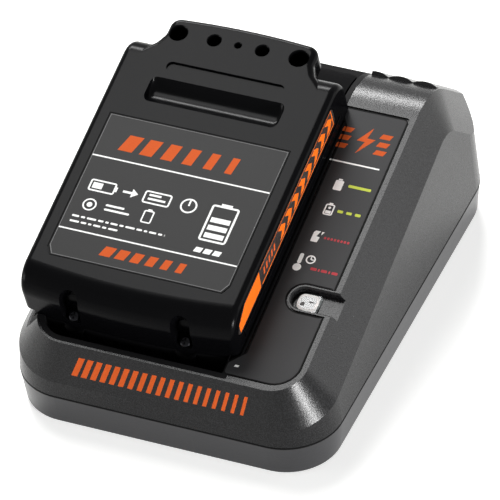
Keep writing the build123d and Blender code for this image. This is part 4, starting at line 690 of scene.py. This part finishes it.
printed("panel_rule", [bar(*PANEL_RULE)], INKS["white"], **PANEL_PRINT)
printed("panel_bolt", [poly(*BOLT)], INKS["orange"], **PANEL_PRINT)
for side, x in (("left", 27.0), ("right", 41.2)):
    ladder = [bar(x - RUNG_HALF, x + RUNG_HALF, s, s + RUNG_HIGH, RUNG_SLANT) for s in RUNGS]
    printed(f"panel_ladder_{side}", ladder, INKS["orange"], **PANEL_PRINT)
printed("panel_icons", panel_signs(), INKS["white"], **PANEL_PRINT)
printed("panel_full_line", [pill(36.0, 44.2, *FULL_ROW, 0.3)], INKS["green"], **PANEL_PRINT)
printed_row("panel_charging_dashes", pill(-1.0, 1.0, *CHARGING_ROW, 0.3), start=37.0, count=3, step=3.2,
            narrowing=0.0, ink=INKS["green"], **PANEL_PRINT)
printed_row("panel_fault_dots", pill(-0.4, 0.4, *FAULT_ROW, 0.25), start=35.8, count=8, step=1.2,
            narrowing=0.0, ink=INKS["red"], **PANEL_PRINT)
printed_row("panel_heat_dashes", pill(-1.1, 1.1, *HEAT_ROW, 0.3), start=36.5, count=3, step=3.8,
            narrowing=0.0, ink=INKS["red"], **PANEL_PRINT)
printed_row("panel_heat_dots", pill(-0.3, 0.3, *HEAT_ROW, 0.25), start=38.4, count=2, step=3.8,
            narrowing=0.0, ink=INKS["red"], **PANEL_PRINT)
printed("panel_tick", [bar(*PANEL_TICK, slant=0.3)], INKS["white"], **PANEL_PRINT)

# ---------------------------------------------------------------- front bevel
RIDGE_S = 4.7               # upper edge of the bevel, on the deck
WALL_S = -3.17              # its lower edge, where the front wall starts
BEVEL_DROP = 13.3           # how far that edge is under the deck
FRONT_BAR = (-1.1, 1.1, 4.2, 11.4)      # one bar of the row, drawn about x = 0
bevel_top = on_deck(0, RIDGE_S, 0)
bevel_low = on_deck(0, WALL_S, -BEVEL_DROP)
bevel_up = (bevel_top - bevel_low).normalized()
bevel_out = Vector((1, 0, 0)).cross(bevel_up)


def on_bevel(u, v, w):
    """A point of the front bevel: u to the right, v up from its lower edge."""
    return bevel_low + Vector((u * MM, 0, 0)) + bevel_up * (v * MM) + bevel_out * (w * MM)


printed_row("front_bars", bar(*FRONT_BAR, slant=2.6), start=-31.0, count=19, step=3.4,
            narrowing=0.025, ink=INKS["orange"], place=on_bevel, body="charger", slot="housing_plastic")

# ---------------------------------------------------------------- dark lines along edges
JOINT_Z = 13.2              # where the two housings meet
JOINT_HALF = 0.35           # half the height of the dark line there
JOINT_IN = 0.2              # how deep it reaches into the wall
JOINT_OUT = 0.06            # how far it stands out of it
EDGE_WIDE = 0.5             # the dark line along the status panel's edge: its gap, widened by painted shade
EDGE_DEEP = 0.05            # it starts this far under the panel's face
WELD = 0.002                # corners of loose triangles nearer than this are one


def outer_loop(node, point, up):
    """The outline of a node where a plane cuts it, in order."""
    shape = bmesh.new()
    shape.from_mesh(frame["nodes"][node].data)
    bmesh.ops.remove_doubles(shape, verts=shape.verts, dist=WELD * MM)
    bmesh.ops.bisect_plane(shape, geom=shape.verts[:] + shape.edges[:] + shape.faces[:], plane_co=point,
                           plane_no=up, clear_inner=True, clear_outer=True)
    start = max(shape.verts, key=lambda vert: vert.co.x)
    loop, edge = [start], start.link_edges[0]
    while True:
        vert = edge.other_vert(loop[-1])
        if vert is start:
            break
        loop.append(vert)
        edge = next(e for e in vert.link_edges if e is not edge)
    points = [vert.co.copy() for vert in loop]
    shape.free()
    return points


def edge_band(name, loop, up, profile):
    """A thin closed band along a loop; the profile is (out from the loop, up) in millimetres."""
    count = len(loop)
    area = sum((loop[k - 1].cross(loop[k])).dot(up) for k in range(count))
    turn = 1 if area > 0 else -1
    shape = bmesh.new()
    rings = []
    for out, rise in profile:
        ring_verts = []
        for k, point in enumerate(loop):
            along = loop[(k + 1) % count] - loop[k - 1]
            away = along.cross(up).normalized() * turn
            ring_verts.append(shape.verts.new(point + away * (out * MM) + up * (rise * MM)))
        rings.append(ring_verts)
    for low, high in zip(rings, rings[1:] + rings[:1]):
        for k in range(count):
            after = (k + 1) % count
            shape.faces.new((low[k], low[after], high[after], high[k]))
    bmesh.ops.recalc_face_normals(shape, faces=shape.faces)
    mesh = bpy.data.meshes.new(name)
    shape.to_mesh(mesh)
    shape.free()
    mesh.materials.append(INKS["black"])
    return mesh


def housing_joint():
    """The dark line round the charger where its two housings meet."""
    upright = Vector((0, 0, 1))
    loop = outer_loop("lower_housing", Vector((0, 0, (JOINT_Z - JOINT_HALF) * MM)), upright)
    band = edge_band("housing_joint", loop, upright, [
        (-JOINT_IN, 0), (JOINT_OUT, 0), (JOINT_OUT, 2 * JOINT_HALF), (-JOINT_IN, 2 * JOINT_HALF)])
    fixed_on("housing_joint", band, "charger")


def panel_gap_and_shade():
    """The dark line along the edge of the status panel: its gap, widened by painted shade where the sunken
    panel meets the deck.
    """
    # painted shade: a dark band on the sunken panel, just inside its edge
    loop = outer_loop("status_panel", on_deck(0, 0, PANEL_FACE - EDGE_DEEP), DECK_H)
    high = EDGE_DEEP + INK_SUNK
    band = edge_band("panel_gap_and_shade", loop, DECK_H, [(-EDGE_WIDE, 0), (0, 0), (0, high), (-EDGE_WIDE, high)])
    fixed_on("panel_gap_and_shade", band, "charger")


housing_joint()
panel_gap_and_shade()

# ---------------------------------------------------------------- painted highlight round the lens's rim, and grey spots painted on it
LENS_RIM_HIGHLIGHT = (35.3, 42.6, 39.45, 46.05)
# a white ring painted on the lens as the highlight round its rim
rim = frame_line(*LENS_RIM_HIGHLIGHT, radius=2.2, width=0.9)
printed("lens_rim_highlight", [rim], INKS["white"], **LENS_PRINT)
# grey spots painted on the lens's face for the darker spots seen in the clear lens
dark_spots = [disc(37.2, 41.9, 0.8), pill(39.2, 41.2, 42.9, 43.4, 0.25)]
printed("lens_dark_spots", dark_spots, INKS["grey"], **LENS_PRINT)

# ---------------------------------------------------------------- springs of the latch
SPRING_WELD = 0.001         # as WELD, for the thin wire


def coil_springs():
    """The two springs of the latch, as the part draws them, welded into one mesh that moves with the pack.
    """
    shape = bmesh.new()
    shape.from_mesh(frame["nodes"]["latch_springs"].data)
    bmesh.ops.remove_doubles(shape, verts=shape.verts, dist=SPRING_WELD * MM)
    bmesh.ops.recalc_face_normals(shape, faces=shape.faces)
    mesh = bpy.data.meshes.new("coil_springs")
    shape.to_mesh(mesh)
    shape.free()
    mesh.materials.append(finishes["latch_springs"])
    piece = fixed_on("coil_springs", mesh, "pack")
    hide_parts("latch_springs")
    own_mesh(piece)


coil_springs()

# ================================================================ stage, in metres
FLOOR_HALF = 3.0
FLOOR_LIFT = 0.6            # what the eye sees of the floor beyond the lamps on it
SKY_LIGHT = 0.08            # the world's light on the object
SKY_SEEN = 1.0              # the world as the eye and gloss see it: white
LAMPS_AT = (0, 0, 0.03)     # what the lamps point at, low in the middle of the charger


def seen_by_eye_and_gloss(tree):
    """One for rays from the camera and for gloss and glass, nought for the light on the object."""
    path = add(tree, "ShaderNodeLightPath")
    first = add(tree, "ShaderNodeMath", {
        0: path.outputs["Is Camera Ray"], 1: path.outputs["Is Glossy Ray"]}, operation="MAXIMUM")
    both = add(tree, "ShaderNodeMath", {
        0: first.outputs["Value"], 1: path.outputs["Is Transmission Ray"]}, operation="MAXIMUM")
    return both.outputs["Value"]


def pale_floor():
    """Matt white paper: it keeps the shadow, and where nothing shades it it looks white."""
    material, tree = new_material("floor_paper")
    paper = add(tree, "ShaderNodeBsdfDiffuse", {"Color": linear("E4E4E2")})
    lift = add(tree, "ShaderNodeMath", {
        0: seen_by_eye_and_gloss(tree), 1: FLOOR_LIFT}, operation="MULTIPLY")
    glow = add(tree, "ShaderNodeEmission", {"Strength": lift.outputs["Value"]})
    sum_of = add(tree, "ShaderNodeAddShader", {0: paper.outputs["BSDF"], 1: glow.outputs["Emission"]})
    surface(tree, sum_of.outputs["Shader"])
    return material


def make_floor():
    """A wide floor under the charger."""
    shape = bmesh.new()
    near, far = -FLOOR_HALF, FLOOR_HALF
    corners = ((near, near), (far, near), (far, far), (near, far))
    shape.faces.new([shape.verts.new((x, y, 0)) for x, y in corners])
    mesh = bpy.data.meshes.new("floor")
    shape.to_mesh(mesh)
    shape.free()
    mesh.materials.append(pale_floor())
    floor = bpy.data.objects.new("floor", mesh)
    bpy.context.collection.objects.link(floor)


def soft_light(name, place, width, height, watts):
    """A soft rectangular lamp that points at the charger."""
    lamp = bpy.data.lights.new(name, "AREA")
    lamp.shape = "RECTANGLE"
    lamp.size = width
    lamp.size_y = height
    lamp.energy = watts
    thing = bpy.data.objects.new(name, lamp)
    thing.location = place
    thing.rotation_euler = (Vector(LAMPS_AT) - Vector(place)).to_track_quat("-Z", "Y").to_euler()
    bpy.context.collection.objects.link(thing)


def white_world():
    """A world that looks white and adds only a little light."""
    world = bpy.data.worlds.new("studio")
    world.use_nodes = True
    sky = world.node_tree
    sky.nodes.clear()
    level = add(sky, "ShaderNodeMapRange", {
        "Value": seen_by_eye_and_gloss(sky), "To Min": SKY_LIGHT, "To Max": SKY_SEEN})
    back = add(sky, "ShaderNodeBackground", {"Color": (1, 1, 1, 1), "Strength": level.outputs["Result"]})
    sky.links.new(back.outputs["Background"], add(sky, "ShaderNodeOutputWorld").inputs["Surface"])
    bpy.context.scene.world = world


make_floor()
# small, low at the front right: the bright crest, and the sparkle of the grain on the right bevel
soft_light("lamp_front_right", (1.06, -0.54, 0.12), width=0.28, height=0.22, watts=20.0)
# a long strip, high behind: the sheen on the deck and on the pack, and the shadow to the front
soft_light("lamp_rear", (-0.55, 0.90, 0.95), width=0.6, height=0.20, watts=22.0)
# wide and weak, low behind on the right: fills the right wall
soft_light("lamp_right", (1.00, 0.62, 0.15), width=0.6, height=0.6, watts=3.5)
# low at the front left: fills the pack's front and the left bevel
soft_light("lamp_left", (-0.95, -0.62, 0.12), width=0.5, height=0.4, watts=8.0)
# above: an even light on the main label and the panel
soft_light("lamp_over", (-0.40, 0.35, 1.20), width=0.45, height=0.45, watts=9.0)
white_world()

# ================================================================ camera
# far off behind a long lens, so that lines that are parallel nearly stay so; its place in millimetres
EYE = Vector((624.856, -1310.140, 1258.850))
BACK = Vector((0.328098, -0.686519, 0.648879))
RIGHT = Vector((0.921520, 0.383662, -0.060040))
UP = Vector((-0.207731, 0.617654, 0.758519))
FOCAL_LENGTH = 397.08
SENSOR = 36.0
SIGHT = 100.0               # how far it sees, in metres

camera_data = bpy.data.cameras.new("camera")
camera_data.lens = FOCAL_LENGTH
camera_data.sensor_width = SENSOR
camera_data.clip_end = SIGHT
camera = bpy.data.objects.new("camera", camera_data)
turn = Matrix((RIGHT, UP, BACK)).transposed().to_4x4()
camera.matrix_world = Matrix.Translation(EYE * MM) @ turn
bpy.context.collection.objects.link(camera)
bpy.context.scene.camera = camera
bpy.context.scene.view_settings.view_transform = "Standard"
